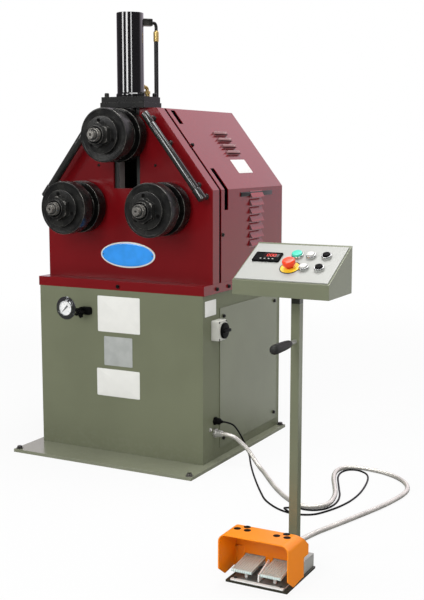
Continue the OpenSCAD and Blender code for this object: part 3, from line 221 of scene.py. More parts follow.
# A direction that no tube runs along, from which its sections are turned
LEAN = unit((0.5, 0.0, 0.866))


def tube(way, radius, sides):
    """A circle carried along a way: radius times (cos, sin) across the heading at each point."""
    heading = unit(np.gradient(way, axis=0))
    side = unit(np.cross(heading, LEAN))
    lift = np.cross(side, heading)
    a = round_angles(sides)[None, :, None]
    r = np.broadcast_to(radius, len(way))[:, None, None]
    return skin(way[:, None] + r * (np.cos(a) * side[:, None] + np.sin(a) * lift[:, None]))


def aimed(shape, at=(0, 0, 0), along=UP, across=(1, 0, 0.001)):
    """A shape with its own Z turned along a direction and its X across it, moved to a point."""
    w = unit(along)
    u = unit(np.asarray(across, float) - w * np.dot(across, w))
    return shape[0] @ np.array([u, np.cross(w, u), w]) + np.asarray(at), shape[1]


def joined(*shapes):
    """Several shapes as one."""
    starts = np.cumsum([0] + [len(points) for points, _ in shapes[:-1]])
    faces = [quads + start for (_, quads), start in zip(shapes, starts)]
    return np.vstack([points for points, _ in shapes]), np.vstack(faces)


def mark_rub(grid):
    """A face attribute: how far the faces at each point lean apart, the least of a face's points.

    Lean is one less the length of the mean of the normals, so flats give none and rims some."""
    rub = grid.faces.layers.float.new("rub")
    grid.normal_update()
    lean = {}
    for point in grid.verts:
        normals = [face.normal for face in point.link_faces]
        lean[point] = 1 - sum(normals, Vector()).length / len(normals)
    for face in grid.faces:
        face[rub] = min(lean[point] for point in face.verts)


def carried(name, mesh, finish, body):
    """An object of a mesh, which rides on a body and takes a finish."""
    mesh.materials.append(finish.material)
    made = bpy.data.objects.new(name, mesh)
    bpy.context.scene.collection.objects.link(made)
    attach(made, body)
    return made


def piece(name, shape, finish, body="machine", hides=None, crease=32):
    """A mesh object from a shape: doubles merged, faces outward, smooth up to the crease angle."""
    mesh = bpy.data.meshes.new(name)
    mesh.from_pydata(shape[0].tolist(), [], shape[1].tolist())
    grid = bmesh.new()
    grid.from_mesh(mesh)
    bmesh.ops.remove_doubles(grid, verts=grid.verts, dist=1e-6)
    bmesh.ops.recalc_face_normals(grid, faces=grid.faces)
    mark_rub(grid)
    grid.to_mesh(mesh)
    grid.free()
    mesh.shade_smooth()
    mesh.set_sharp_from_angle(angle=math.radians(crease))
    made = carried(name, mesh, finish, body)
    if hides:
        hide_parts(hides)
    return made


# Finishes
def tone(red, green, blue):
    """A display colour, 0 to 255, as linear light with alpha."""
    c = np.array([red, green, blue]) / 255
    linear = np.where(c <= 0.04045, c / 12.92, ((c + 0.055) / 1.055) ** 2.4)
    return (*linear.tolist(), 1.0)


def shade(colour, factor):
    """A colour made lighter or darker."""
    return (*(min(1.0, c * factor) for c in colour[:3]), 1.0)


class Value:
    """A shader socket; arithmetic on it adds Math nodes."""

    def __init__(self, finish, socket):
        self.finish, self.socket = finish, socket

    def math(self, operation, first, second):
        return self.finish.node("Math", {"operation": operation}, {0: first, 1: second})

    def __add__(self, other):
        return self.math("ADD", self, other)

    __radd__ = __add__

    def __sub__(self, other):
        return self.math("SUBTRACT", self, other)

    def __rsub__(self, other):
        return self.math("SUBTRACT", other, self)

    def __mul__(self, other):
        return self.math("MULTIPLY", self, other)

    __rmul__ = __mul__

    def __pow__(self, other):
        return self.math("POWER", self, other)

    def lesser(self, other):
        return self.math("MINIMUM", self, other)

    def greater(self, other):
        return self.math("MAXIMUM", self, other)

    def sine(self):
        return self.math("SINE", self, 0.0)

    def cosine(self):
        return self.math("COSINE", self, 0.0)

    def step(self, low, high):
        """0 below low, 1 above high, smooth between."""
        return self.finish.node(
            "MapRange",
            {"interpolation_type": "SMOOTHSTEP"},
            {"Value": self, "From Min": low, "From Max": high},
        )

    def above(self, level, soft):
        """0 below a level in millimetres and 1 above it, smooth for a softness either way."""
        return self.step(mm(level - soft), mm(level + soft))


class Nodes:
    """A node tree with one way to add any node."""

    def __init__(self, owner):
        owner.use_nodes = True
        self.tree = owner.node_tree

    def first(self, kind):
        return next(n for n in self.tree.nodes if n.type == kind)

    def feed(self, socket, value):
        if isinstance(value, Value):
            self.tree.links.new(value.socket, socket)
        else:
            socket.default_value = value

    def node(self, kind, settings=None, sockets=None, out=0):
        """Any node: its type, its settings, then the values or links of its sockets."""
        made = self.tree.nodes.new("ShaderNode" + kind)
        for key, value in (settings or {}).items():
            setattr(made, key, value)
        for key, value in (sockets or {}).items():
            self.feed(made.inputs[key], value)
        return Value(self, made.outputs[out])

    def blend(self, factor, low, high):
        return self.node("Mix", {"data_type": "RGBA"}, {0: factor, 6: low, 7: high}, 2)


class Finish(Nodes):
    """One material: a Principled shader and the nodes that feed it."""

    def __init__(self, name, slot, fixed=None):
        self.slot = slot
        self.material = bpy.data.materials.new(name)
        super().__init__(self.material)
        self.shader = self.first("BSDF_PRINCIPLED")
        for socket, value in (fixed or {}).items():
            self.shader.inputs[socket].default_value = value
        self.place = self.node("TexCoord", out="Object")

    def axis(self, letter):
        return self.node("SeparateXYZ", {}, {0: self.place}, letter)

    def noise(self, scale, detail, stretch=None):
        place = self.place
        if stretch:
            place = self.node(
                "VectorMath", {"operation": "MULTIPLY"}, {0: place, 1: stretch}, "Vector"
            )
        return self.node("TexNoise", {}, {"Vector": place, "Scale": scale, "Detail": detail}, "Fac")

    def edge(self, radius):
        """How far a rounded edge's normal leans from the face's own, and that normal."""
        normal = self.node("Bevel", {"samples": 4}, {"Radius": radius})
        face = self.node("NewGeometry", out="Normal")
        lean = self.node("VectorMath", {"operation": "DOT_PRODUCT"}, {0: normal, 1: face}, "Value")
        return 1 - lean, normal

    def rubbed(self):
        """The worn rims of a piece, from its own face attribute."""
        return self.node("Attribute", {"attribute_name": "rub"}, out="Fac").step(0.010, 0.022)

    def bump(self, height, depth, normal=None):
        sockets = {"Height": height, "Distance": depth, "Strength": 1.0}
        if normal:
            sockets["Normal"] = normal
        return self.node("Bump", {}, sockets)

    def surface(self, colour, roughness, normal=None, metallic=None):
        fed = {"Base Color": colour, "Roughness": roughness, "Normal": normal, "Metallic": metallic}
        for socket, value in fed.items():
            if value:
                self.feed(self.shader.inputs[socket], value)


DUST = tone(150, 148, 138)


def coated(coat, shine):
    """Fixed values of a shader under a clear coat."""
    return {"Coat Weight": coat, "Coat Roughness": 0.08, "Specular IOR Level": shine}


def painted(
    name, slot, tint, rough, coat=0.0, peel=0.05, soften=1.4, grime=0.12, bands=None, shine=0.5
):
    """Sprayed paint: cloudy tone, orange peel, rubbed lighter edges and dust near the floor."""
    f = Finish(name, slot, coated(coat, shine))
    cloud, speck = f.noise(2.6, 4), f.noise(70, 3)
    edge, normal = f.edge(mm(soften))
    colour = f.blend(cloud.step(0.3, 0.7), shade(tint, 0.93), shade(tint, 1.06))
    colour = f.blend((edge * (0.6 + speck)).step(0.05, 0.4) * 0.45, colour, shade(tint, 1.6))
    low = (1 - f.axis("Z").above(70, 70)) * speck.step(0.4, 0.75) * grime
    colour = f.blend(low, colour, DUST)
    rough = rough + 0.12 * (cloud - 0.5) + 0.15 * low
    # Bands lay their colours over the paint; the housing's bands are painted light
    for mask, dark in bands(f) if bands else ():
        colour = f.blend(mask, colour, dark)
    f.surface(colour, rough, f.bump(f.noise(420, 2), mm(peel), normal))
    return f


ROLL_AXES = ((-183, 940), (183, 940), (0, 1205))


def turning_radius(f):
    """Distance from the nearest of the three roll axes."""
    x, z = f.axis("X"), f.axis("Z")
    reach = [((x - mm(cx)) ** 2 + (z - mm(cz)) ** 2) ** 0.5 for cx, cz in ROLL_AXES]
    return reach[0].lesser(reach[1]).lesser(reach[2])


BARE_STEEL = tone(172, 169, 162)


def oxide(
    name, slot, rough=0.27, wear=0.6, soften=1.2, lathed=False, low=9, high=22, base=0.1,
    shine=0.25, rims=(),
):
    """Oiled black oxide: mottled near-black, with bare steel where edges and rims rub.

    Rims are bare rings between two radii from a roll's axis; a lathed face has turning marks."""
    f = Finish(name, slot, {"Specular IOR Level": shine})
    mottle, fine = f.noise(24, 5), f.noise(330, 3)
    edge, normal = f.edge(mm(soften))
    bare = edge.step(0.03, 0.3).greater(f.rubbed()) * (0.2 + 0.8 * mottle.step(0.42, 0.62)) * wear
    colour = f.blend(mottle.step(0.35, 0.72), tone(low, low, low), tone(high, high, high - 2))
    radius = turning_radius(f) if rims or lathed else None
    for inside, outside in rims:
        ring = radius.above(inside, 0.4) * (1 - radius.above(outside + 0.3, 0.3))
        bare = bare.greater(ring * wear)
    colour = f.blend(bare, colour, BARE_STEEL)
    height = 0.5 * fine + 0.5 * mottle
    if lathed:
        height = height + 0.5 * (radius * (TURN / mm(1.1)) + 3 * f.noise(9, 2)).sine()
    normal = f.bump(height, mm(0.02), normal)
    f.surface(colour, rough + 0.2 * (mottle - 0.5), normal, base + (0.9 - base) * bare)
    return f


def metal(name, slot, tint, rough, grain=0.012, spread=0.12, pure=1.0):
    """Bare metal with drawn grain along one direction and slightly cleaner edges."""
    f = Finish(name, slot, {"Metallic": pure})
    line, cloud = f.noise(1.0, 3, (40, 40, 600)), f.noise(14, 4)
    edge, normal = f.edge(mm(0.8))
    colour = f.blend(cloud.step(0.25, 0.75), shade(tint, 0.86), shade(tint, 1.04))
    colour = f.blend(edge.step(0.05, 0.5) * 0.4, colour, shade(tint, 1.25))
    f.surface(colour, rough + spread * (line + cloud - 1.0), f.bump(line, mm(grain), normal))
    return f


def moulded(
    name, slot, tint, rough, grain=900, depth=0.015, coat=0.0, soften=0.6, rub=1.3, spread=0.06,
    shine=0.5,
):
    """Moulded plastic or rubber: fine grain, faint tone and rubbed edges."""
    f = Finish(name, slot, coated(coat, shine))
    cloud, fine = f.noise(30, 3), f.noise(grain, 2)
    edge, normal = f.edge(mm(soften))
    colour = f.blend(cloud.step(0.3, 0.7), shade(tint, 1 - spread), shade(tint, 1 + spread))
    colour = f.blend(edge.step(0.05, 0.5) * 0.35, colour, shade(tint, rub))
    f.surface(colour, rough + 0.1 * (cloud - 0.5), f.bump(fine, mm(depth), normal))
    return f


def hose_weave(name, slot, tint):
    """Rubber hose with a fine wrapped surface."""
    f = Finish(name, slot)
    wrap = (f.axis("Z") * (TURN / mm(2.4)) + f.axis("X") * (TURN / mm(5))).sine()
    cloud = f.noise(40, 3)
    colour = f.blend(cloud.step(0.3, 0.7), shade(tint, 0.85), shade(tint, 1.25))
    f.surface(colour, 0.48 + 0.12 * (cloud - 0.5), f.bump(wrap, mm(0.05)))
    return f


def clear_glass(name, slot):
    """Thin clear cover: mostly see-through, with a faint smear in its gloss."""
    f = Finish(name, slot, {"Alpha": 0.12})
    smear = f.noise(50, 3)
    f.surface(f.blend(smear, tone(235, 238, 238), tone(250, 250, 250)), 0.03 + 0.05 * smear)
    return f


def lit(name, slot, low, high):
    """Figures lit from within."""
    f = Finish(name, slot, {"Emission Strength": 0.9})
    glow = f.noise(400, 2)
    colour = f.blend(glow, low, high)
    f.feed(f.shader.inputs["Emission Color"], colour)
    f.surface(colour, 0.4 + 0.1 * glow)
    return f


# The slanted sides of the cover start at this place (x, z) and fall by these shares across and down
SLOPE_TOP = (131, 1305)
SLOPE = (0.6152, 0.7884)
OLIVE = tone(110, 114, 93)
BURGUNDY = tone(113, 12, 18)


def stand_bands(f):
    """Dark floor plate, painted shade on the top of the post under the console, and the pale stud
    of the handle.
    """
    z, y = f.axis("Z"), f.axis("Y")
    # collar: painted shade on the top of the post, just under the console
    plate, collar = 1 - z.above(8, 0.4), z.above(736, 0.5)
    stud = (1 - y.above(-915.5, 0.5)) * z.above(605, 5) * (1 - z.above(665, 5))
    return (plate, tone(54, 54, 45)), (collar, tone(52, 54, 46)), (stud, tone(150, 150, 144))


def pedal_bands(f):
    """Painted shade, mottled, on the top of the pedal base under the guard, behind its pale front
    rim, and the duller switch box.
    """
    z, y = f.axis("Z"), f.axis("Y")
    top = z.above(9.6, 0.2) * (1 - z.above(10.6, 0.2)) * y.above(-1108, 1)
    # Painted shade under the guard on the top of the base, mottled
    shaded_top = top * (0.75 + 0.3 * f.noise(45, 4)).lesser(1.0)
    return (shaded_top, tone(74, 72, 66)), (y.above(-998.5, 0.5), tone(166, 166, 161))


def gib_bands(f):
    """Blackened front faces of the guide strips; their sliding faces stay bare."""
    return ((1 - f.axis("Y").above(-182.5, 0.3), tone(38, 39, 37)),)


def tread_bands(f):
    """Darker lines along the grooves of the treads, which run at an even pitch across each pedal.
    """
    first_groove, pitch = mm(905), mm(60) / 9
    groove = ((f.axis("X") - first_groove) * (TURN / pitch)).cosine()
    return ((groove.step(0.75, 0.95) * 0.7, tone(84, 82, 77)),)


def louvre_painted_light(f):
    """Painted light on the louvres, which stand off the upright and slanted sides: lighter faces
    and pale rims are painted highlights, and the ends carry painted shade and sheen.
    """
    wide = (f.axis("X") ** 2) ** 0.5
    off = wide * SLOPE[1] + f.axis("Z") * SLOPE[0]
    upright, slanted, rim = wide.above(362.5, 0.3), off.above(907.4, 0.3), off.above(910, 1.5)
    end = 1 - f.axis("Y").above(112, 0.5)
    # Painted highlights on the upright faces, slanted faces and rims; painted shade and sheen on
    # the ends
    return (
        (upright * 0.5, shade(BURGUNDY, 1.7)),
        (slanted, tone(150, 92, 97)), (rim, tone(236, 188, 190)),
        (slanted * end, tone(128, 76, 80)), (upright * end, tone(100, 62, 66)),
    )


PAINT = {}


def add_paint(make, slot, *values, **more):
    """The finish of one of the record's material slots, under the slot's name."""
    PAINT[slot] = make(slot, slot, *values, **more)


add_paint(painted, "base_paint", tone(126, 129, 110), 0.2, peel=0.003, grime=0.1, shine=0.6)
add_paint(painted, "olive_paint", OLIVE, 0.22)
add_paint(painted, "red_paint", BURGUNDY, 0.2, peel=0.03)
add_paint(oxide, "black_oxide")
add_paint(
    painted, "barrel_paint", tone(10, 10, 11), 0.1, coat=0.6, peel=0.003, soften=0.3, shine=0.85
)
add_paint(metal, "bright_steel", tone(206, 205, 200), 0.3, pure=0.6)
add_paint(painted, "machine_grey", tone(92, 92, 88), 0.36, coat=0.4)
add_paint(metal, "brass", tone(206, 178, 112), 0.3, pure=0.6)
add_paint(hose_weave, "hose_rubber", tone(17, 17, 17))
add_paint(metal, "gauge_chrome", tone(160, 162, 163), 0.12, grain=0.003)
add_paint(moulded, "pointer_black", tone(18, 18, 18), 0.5)
add_paint(moulded, "black_plastic", tone(14, 14, 14), 0.34, rub=2.0, shine=0.03)
add_paint(moulded, "cable_black", tone(9, 9, 9), 0.42, grain=1400, shine=0.15)
add_paint(metal, "conduit_metal", tone(224, 221, 213), 0.34, pure=0.65, spread=0.04)
add_paint(moulded, "grey_plastic", tone(188, 188, 180), 0.42)
add_paint(painted, "panel_grey", tone(158, 159, 154), 0.4, grime=0.0, soften=0.8)
add_paint(metal, "bezel", tone(214, 215, 214), 0.2, grain=0.003)
add_paint(moulded, "red_plastic", tone(238, 66, 22), 0.3, coat=0.1)
add_paint(moulded, "green_plastic", tone(60, 196, 168), 0.26, coat=0.3)
add_paint(moulded, "white_plastic", tone(196, 196, 192), 0.3, coat=0.1)
add_paint(painted, "pedal_grey", tone(206, 226, 222), 0.46, peel=0.1, bands=tread_bands)
add_paint(painted, "guard_orange", tone(255, 141, 3), 0.32, grime=0.0, shine=0.45)

CABINET = painted("cabinet_paint", "olive_paint", OLIVE, 0.24, shine=0.06)
# The housing paint carries the louvres' painted highlights and painted shade
HOUSING = painted("housing_paint", "red_paint", BURGUNDY, 0.2, peel=0.03, bands=louvre_painted_light)
# The pedal base's bands paint the shade on its top under the guard
PEDAL_BASE = painted(
    "pedal_base", "pedal_grey", tone(250, 250, 246), 0.46, peel=0.1, bands=pedal_bands
)
SHAFT = oxide(
    "shaft_steel", "black_oxide", wear=0.78, low=38, high=64, base=0.35, shine=0.5,
    rims=((4.5, 14.2), (20.5, 23.2)),
)
GIB = painted("guide_steel", "black_oxide", tone(150, 141, 139), 0.34, bands=gib_bands)
GRIP = moulded(
    "grip_rubber", "black_plastic", tone(44, 44, 43), 0.5, grain=260, depth=0.25, rub=1.6, shine=0.2
)
STAND = painted("stand_paint", "olive_paint", OLIVE, 0.22, bands=stand_bands)
ROLL = oxide("roll_oxide", "black_oxide", rough=0.26, lathed=True)
# A lighter copy of the roll oxide paints the sheen on the outer discs and nuts
ROLL_SHEEN = oxide("roll_painted_sheen", "black_oxide", rough=0.26, lathed=True, low=27, high=42)
SCREW = oxide("screw_oxide", "black_oxide", rough=0.3, wear=0.4, soften=0.4)
ROD = painted(
    "rod_steel", "black_oxide", tone(38, 38, 36), 0.16, peel=0.002, soften=0.4, grime=0.0, shine=1.0
)
# Painted shade: near-black strips in the louvre mouths, and half-shade strips in the tone of the
# paint in shadow
LOUVRE_SHADE = moulded("louvre_painted_shade", "black_plastic", tone(34, 12, 14), 0.8, shine=0.05)
LOUVRE_HALF_SHADE = painted("louvre_painted_half_shade", "red_paint", tone(168, 104, 110), 0.3)
# Near-black painted shade: the rear plate seen through the ram slot, and discs in the nut's screw
# holes
HOLLOW_SHADE = moulded("painted_hollow_shade", "black_plastic", tone(12, 11, 11), 0.8, shine=0.05)
PLATE = moulded(
    "plain_plate", "panel_grey", tone(222, 222, 217), 0.38, coat=0.1, soften=0.2, rub=1.0,
    spread=0.015,
)
ALUMINIUM = moulded(
    "plate_aluminium", "conduit_metal", tone(164, 167, 164), 0.4, soften=0.2, rub=1.1
)
ENAMEL = moulded("badge_enamel", "panel_grey", tone(54, 154, 244), 0.22, coat=0.3, soften=0.3)
YELLOW = moulded("yellow_ring", "panel_grey", tone(236, 196, 40), 0.4, coat=0.1, soften=0.3)
INK = moulded("dial_ink", "pointer_black", tone(24, 24, 24), 0.6, soften=0.05)
DIAL = moulded("dial_white", "white_plastic", tone(252, 252, 249), 0.55, soften=0.1)
WINDOW = moulded("meter_window", "black_plastic", tone(30, 7, 7), 0.2, soften=0.2, shine=0.15)
GLASS = clear_glass("gauge_glass", "gauge_chrome")
RED_LIGHT = lit("meter_red", "red_plastic", tone(220, 30, 24), tone(255, 70, 50))

add_camera()

# Solids that stay in view, most in the finish of their slot
# The rear plate takes near-black painted shade, so the slot in front of it reads dark
OWN = {
    "stand": STAND, "cabinet_shell": CABINET, "pedal_base": PEDAL_BASE, "left_shaft": SHAFT,
    "right_shaft": SHAFT, "top_shaft": SHAFT, "housing_shell": HOUSING, "rear_plate": HOLLOW_SHADE,
    "gib_strips": GIB,
}
for part in frame["record"]["subparts"]:
    solid = frame["nodes"][part["node"]]
    finish = OWN.get(part["node"], PAINT[part["material_slot"]])
    solid.data.materials.clear()
    solid.data.materials.append(finish.material)

# Cords, on the routes of their solids
CONDUIT = mm_points(
    (392.3, -170, 112), (408.3, -170, 112), (436, -166, 105), (460, -158, 86), (482, -155, 67),
    (504, -158, 45), (528, -168, 23), (554, -187, 10), (582, -218, 8), (620, -268, 8),
    (660, -320, 8), (702, -371, 8), (746, -418, 8), (780, -449, 8), (808, -470, 8),
    (838, -484, 8), (870, -482, 8), (897, -464, 8), (911, -434, 8), (910, -388, 8),
    (895, -324, 8), (866, -252, 8), (836, -184, 8), (815, -122, 8), (809, -76, 8),
    (817, -43, 8), (840, -20, 8), (872, -11, 8), (918, -14, 8), (972, -28, 8),
    (1030, -62, 8), (1074, -112, 8), (1096, -166, 8), (1100, -220, 8), (1092, -284, 8),
    (1076, -360, 8), (1051, -448, 8), (1024, -534, 8), (998, -614, 8), (974, -690, 8),
    (958, -760, 8), (951, -816, 12), (950, -856, 22), (950, -893.7, 27), (950, -909.7, 27),
)
CABLE = mm_points(
    (392.3, -170, 158), (408.3, -170, 158), (427, -152, 146), (432, -120, 115), (433, -90, 82),
    (436, -66, 46), (442, -56, 20), (454, -68, 6), (470, -98, 4), (490, -135, 4),
    (513, -176, 4), (548, -236, 4), (586, -298, 4), (628, -364, 4), (668, -424, 4),
    (704, -474, 4), (741, -510, 4), (783, -540, 4), (826, -556, 4), (870, -554, 4),
    (907, -530, 4), (933, -478, 4), (952, -418, 4), (963, -348, 4), (963, -268, 4),
    (952, -182, 4), (934, -104, 4), (910, -56, 4), (874, -32, 4), (846, -36, 4),
    (830, -58, 4), (826, -94, 4), (836, -142, 4), (856, -192, 4), (884, -258, 4),
    (910, -320, 4), (925, -378, 4), (927, -428, 4), (916, -470, 4), (892, -496, 4),
    (862, -505, 4), (834, -502, 4), (811, -511, 4), (802, -531, 8), (812, -553, 13),
    (836, -576, 13), (860, -608, 6), (884, -656, 4), (912, -720, 9), (937, -780, 25),
    (960, -822, 43), (978, -846, 54), (994, -873.2, 60), (994, -889.2, 60),
)


def add_cord(name, node, points, step, radius, finish, sides, ribs=0.0, pitch=1.0):
    """A round tube along a route; ribs draw its radius in as a cosine of the distance run."""
    way = evenly(smooth_way(points), step)
    run = measured(way)
    r = radius - ribs * (0.5 + 0.5 * np.cos(TURN * run / pitch))
    made = piece(name, tube(way, r, sides), finish, hides=node, crease=80)


add_cord(
    "ribbed_conduit", "pedal_conduit", CONDUIT, mm(1.25), mm(8), PAINT["conduit_metal"], 14,
    mm(0.7), mm(5),
)
add_cord(
    "control_lead", "control_cable", CABLE, mm(6), mm(3.3), PAINT["cable_black"], 12
)


# Fasteners, in millimetres
def cap_screw(across, height):
    """A socket screw: a head with a rounded rim and a round key socket in its end."""
    r, socket, edge = across / 2, across / 4, 0.14 * across
    floor = height - 0.5 * across
    profile = [(0, floor), (socket, floor), (socket, height), (r - edge, height)]
    return lathe(profile + [(r, height - edge), (r, 0), (0, 0)], 0.1 * across, 24, steps=3)


def disc(radius, height, sides=32, flats=0.0):
    """A plain turned disc, or a hexagon across its flats."""
    return lathe([(0, 0), (radius, 0), (radius, height), (0, height)], 0, sides, flats=flats)


def hex_bolt(flats, height, washer, washer_t):
    """A washer under a hexagon head with a turned chamfer."""
    point, top = flats / math.sqrt(3), washer_t + height
    head = [(0, washer_t), (point, washer_t), (point, top - 0.12 * flats), (0.46 * flats, top)]
    return joined(disc(washer / 2, washer_t), lathe(head + [(0, top)], 0, 48, flats=flats))


def screws(name, shape, places, along, finish=SCREW):
    """One fastener shape set at each of several places, all facing one way."""
    piece(name, joined(*(aimed(shape, at, along) for at in places)), finish)


def ring_of(count, first, radius):
    """Places round a circle of a radius in millimetres, from a first angle in degrees."""
    turn = np.radians(first + 360 / count * np.arange(count))
    return [mm(radius * math.cos(t), radius * math.sin(t), 0) for t in turn]


# Rolls: inner disc with hub, outer disc, flanged nut
ROLL_BACK, OUTER_AT, NUT_AT, BORE, RIM = -205, 90, 142, 32, 97.5


def add_roll(side, cx, cz):
    """Each roll is turned about its shaft: discs with rounded rims, a hub, a hexagon nut."""

    def on_shaft(name, shape, out, finish, hides=None):
        place = mm(cx, ROLL_BACK - out, cz)
        piece(side + name, aimed(shape, place, FRONT), finish, side + "_roll", hides)

    inner = [(BORE, 0), (RIM, 0), (RIM, 48), (75, 48), (75, OUTER_AT), (BORE, OUTER_AT)]
    on_shaft("_inner_roll", lathe(inner, 3, 96, loop=True), 0, ROLL, side + "_inner_disc")
    outer = [(BORE, 0), (RIM, 0), (RIM, 52), (90, 52), (88.5, 50.8), (BORE, 50.8)]
    outer = lathe(outer, 2.5, 96, loop=True)
    on_shaft("_outer_roll", outer, OUTER_AT, ROLL_SHEEN, side + "_outer_disc")
    nut = joined(
        lathe([(24, 0), (67, 0), (67, 14), (24, 14)], 1.8, 72, loop=True),
        lathe([(24, 14), (47, 14), (47, 36.5), (41, 40), (24, 40)], 0.6, 96, loop=True, flats=80),
        lathe([(24, 40), (33, 40), (33, 52), (24, 52)], 1.5, 64, loop=True),
    )
    on_shaft("_flanged_nut", nut, NUT_AT, ROLL_SHEEN, side + "_nut")
    # Dark discs in the three screw holes of the nut: painted shade
    socket = lathe([(0, 0), (7, 0), (7, 0.5), (5, 0.3), (0, 0.3)], 0.2)
    sockets = joined(*(aimed(socket, at + mm(0, 0, 14)) for at in ring_of(3, 100, 53.5)))
    on_shaft("_nut_sockets", sockets, NUT_AT, HOLLOW_SHADE)


for side, (cx, cz) in zip(("left", "right", "top"), ROLL_AXES):
    add_roll(side, cx, cz)

# Cylinder, its ports and hoses
CYL = (0, -158)


def add_cylinder():
    """A turned barrel with a welded foot and a shallow top recess."""
    profile = [
        (0, 0), (54, 0), (54, 10), (51, 14), (50, 16), (50, 304), (31, 304), (30, 302), (0, 302),
    ]
    barrel = aimed(lathe(profile, 1.5, 96), mm(*CYL, MOUNT_TOP))
    piece("cylinder", barrel, PAINT["barrel_paint"], hides="cylinder_barrel")
    corners = [mm(x, y, MOUNT_TOP) for x in (-77, 77) for y in (-202, -114)]
    screws("flange_screws", cap_screw(17, 15), corners, UP)


def port(x, y, z, drop, start, radius):
    """A fitting that leaves the barrel level and turns down over its hose."""
    out = unit((x - CYL[0], y - CYL[1], 0))
    reach = math.hypot(x - CYL[0], y - CYL[1])
    base = np.array([*CYL, z], float)
    points = [base + k * out for k in (start, reach - 16, reach - 5)]
    points[-1] += (0, 0, -1.5)
    points += [(x, y, z - 7), (x, y, z - 16), (x, y, z - drop)]
    elbow = tube(smooth_way(mm_points(*points), 6), mm(radius), 20)
    nut = aimed(disc(14, 12, 48, 22), (base + (start + 2) * out) * MM, out)
    return joined(elbow, nut, aimed(disc(13, 11, 48, 20), mm(x, y, z - drop)))


def add_ports():
    """A port block above, an elbow below, crimped ferrules and hoses down into the cover."""
    high, low, floor = (66.9, -83.7), (26.7, -84.7), 1291
    out = unit((high[0] - CYL[0], high[1] - CYL[1], 0))
    neck = [(*CYL, 1617) + k * out for k in (80, 94)] + [(*high, 1606), (*high, 1584)]
    shape = joined(
        aimed(block(27, 28, 4, 84, 3, 46), mm(*CYL, 1619), out, UP),
        tube(smooth_way(mm_points(*neck), 6), mm(6), 20),
    )
    piece("port_block", shape, PAINT["black_oxide"], hides="port_fittings")
    piece("port_elbow_low", port(*low, 1386, 26, 46, 6.5), PAINT["brass"])
    crimp = np.array([(0, 0), (9.4, 0), (10, 2), (10, 33), (8, 38), (0, 38)])
    ferrule = lathe(crimp, 0.7, steps=3)
    short = lathe(crimp * (1, 0.5), 0.5, steps=3)
    ferrules = joined(aimed(ferrule, mm(*high, 1551)), aimed(short, mm(*low, 1341)))
    piece("hose_ferrules", ferrules, PAINT["brass"])
    hoses = []
    for place, top in ((high, 1553), (low, 1343)):
        way = mm_points(*((*place, z) for z in np.linspace(floor, top, 24)))
        hoses.append(tube(way, mm(8), 24))
    piece("hoses", joined(*hoses), PAINT["hose_rubber"], hides="pressure_hose")


# Slanted guide rods on stand-offs
ROD_R, SLEEVE_R, GROOVE_R, ROD_L = 14.5, 16.5, 12, 389.5
ROD_TOP = (104.2, -234, 1284.1)


def add_guide_rods():
    """Rods turned with two grooves and a lower sleeve; stand-offs carry each off the plate."""
    profile = [
        (0, 0), (ROD_R, 0), (ROD_R, 46), (GROOVE_R, 46), (GROOVE_R, 49), (ROD_R, 49),
        (ROD_R, 340.5), (GROOVE_R, 340.5), (GROOVE_R, 344.5), (SLEEVE_R, 344.5),
        (SLEEVE_R, ROD_L), (0, ROD_L),
    ]
    rod = lathe(profile, 1.2, 48)
    foot = lathe([(0, 0), (11, 0), (11, 6), (7, 6), (7, 34), (0, 34)], 1.0)
    shapes = []
    for side in (-1, 1):
        top = np.array(ROD_TOP) * (side, 1, 1)
        run = np.array([side * SLOPE[0], 0, -SLOPE[1]])
        shapes.append(aimed(rod, top * MM, run, BACK))
        for share in (0.06, 0.35, 0.84, 0.97):
            x, _, z = top + run * ROD_L * share
            shapes.append(aimed(foot, mm(x, FRONT_PLATE, z), FRONT))
    piece("slanted_rods", joined(*shapes), ROD, hides="guide_rods")


add_cylinder()
add_ports()
add_guide_rods()


# Cabinet trim
def on_slope(side, down, y, out=0.0):
    """A place on a slanted side of the cover: a distance down from its top edge, and off it."""
    x = SLOPE_TOP[0] + down * SLOPE[0] + out * SLOPE[1]
    return mm(side * x, y, SLOPE_TOP[1] - down * SLOPE[1] + out * SLOPE[0])


def add_screws():
    """Screws of the cover, panel, band and floor plate, and plugs of the front plate."""
    button = cap_screw(14, 8)
    panel = [mm(PANEL_SIDE, y, z) for y, z in ((-106, 543), (348, 543), (348, 76), (-108, 79))]
    both = [mm(BAND_SIDE, y, 650) for y in (-163, -69, 300)] + [mm(COVER_SIDE, -118, 845)]
    screws("right_screws", button, panel + both, RIGHT)
    screws("left_screws", button, [p * (-1, 1, 1) for p in both], LEFT)
    for side, name in ((-1, "left"), (1, "right")):
        place = on_slope(side, 172, -118)
        screws("slope_screw_" + name, button, [place], (side * SLOPE[1], 0, SLOPE[0]))
    screws("band_screw_front", button, [mm(0, CABINET_FRONT, 649)], FRONT)
    plugs = [mm(x, FRONT_PLATE, 1096) for x in (-124, 124)]
    screws("plate_plugs", cap_screw(11, 2.5), plugs, FRONT)
    corners = [mm(x, y, FLOOR_PLATE_TOP) for x in (-374, 374) for y in (-394, 394)]
    screws("floor_bolts", hex_bolt(17, 8, 26, 2.5), corners, UP)


CARD_T, CARD_EDGE = 0.8, 0.3


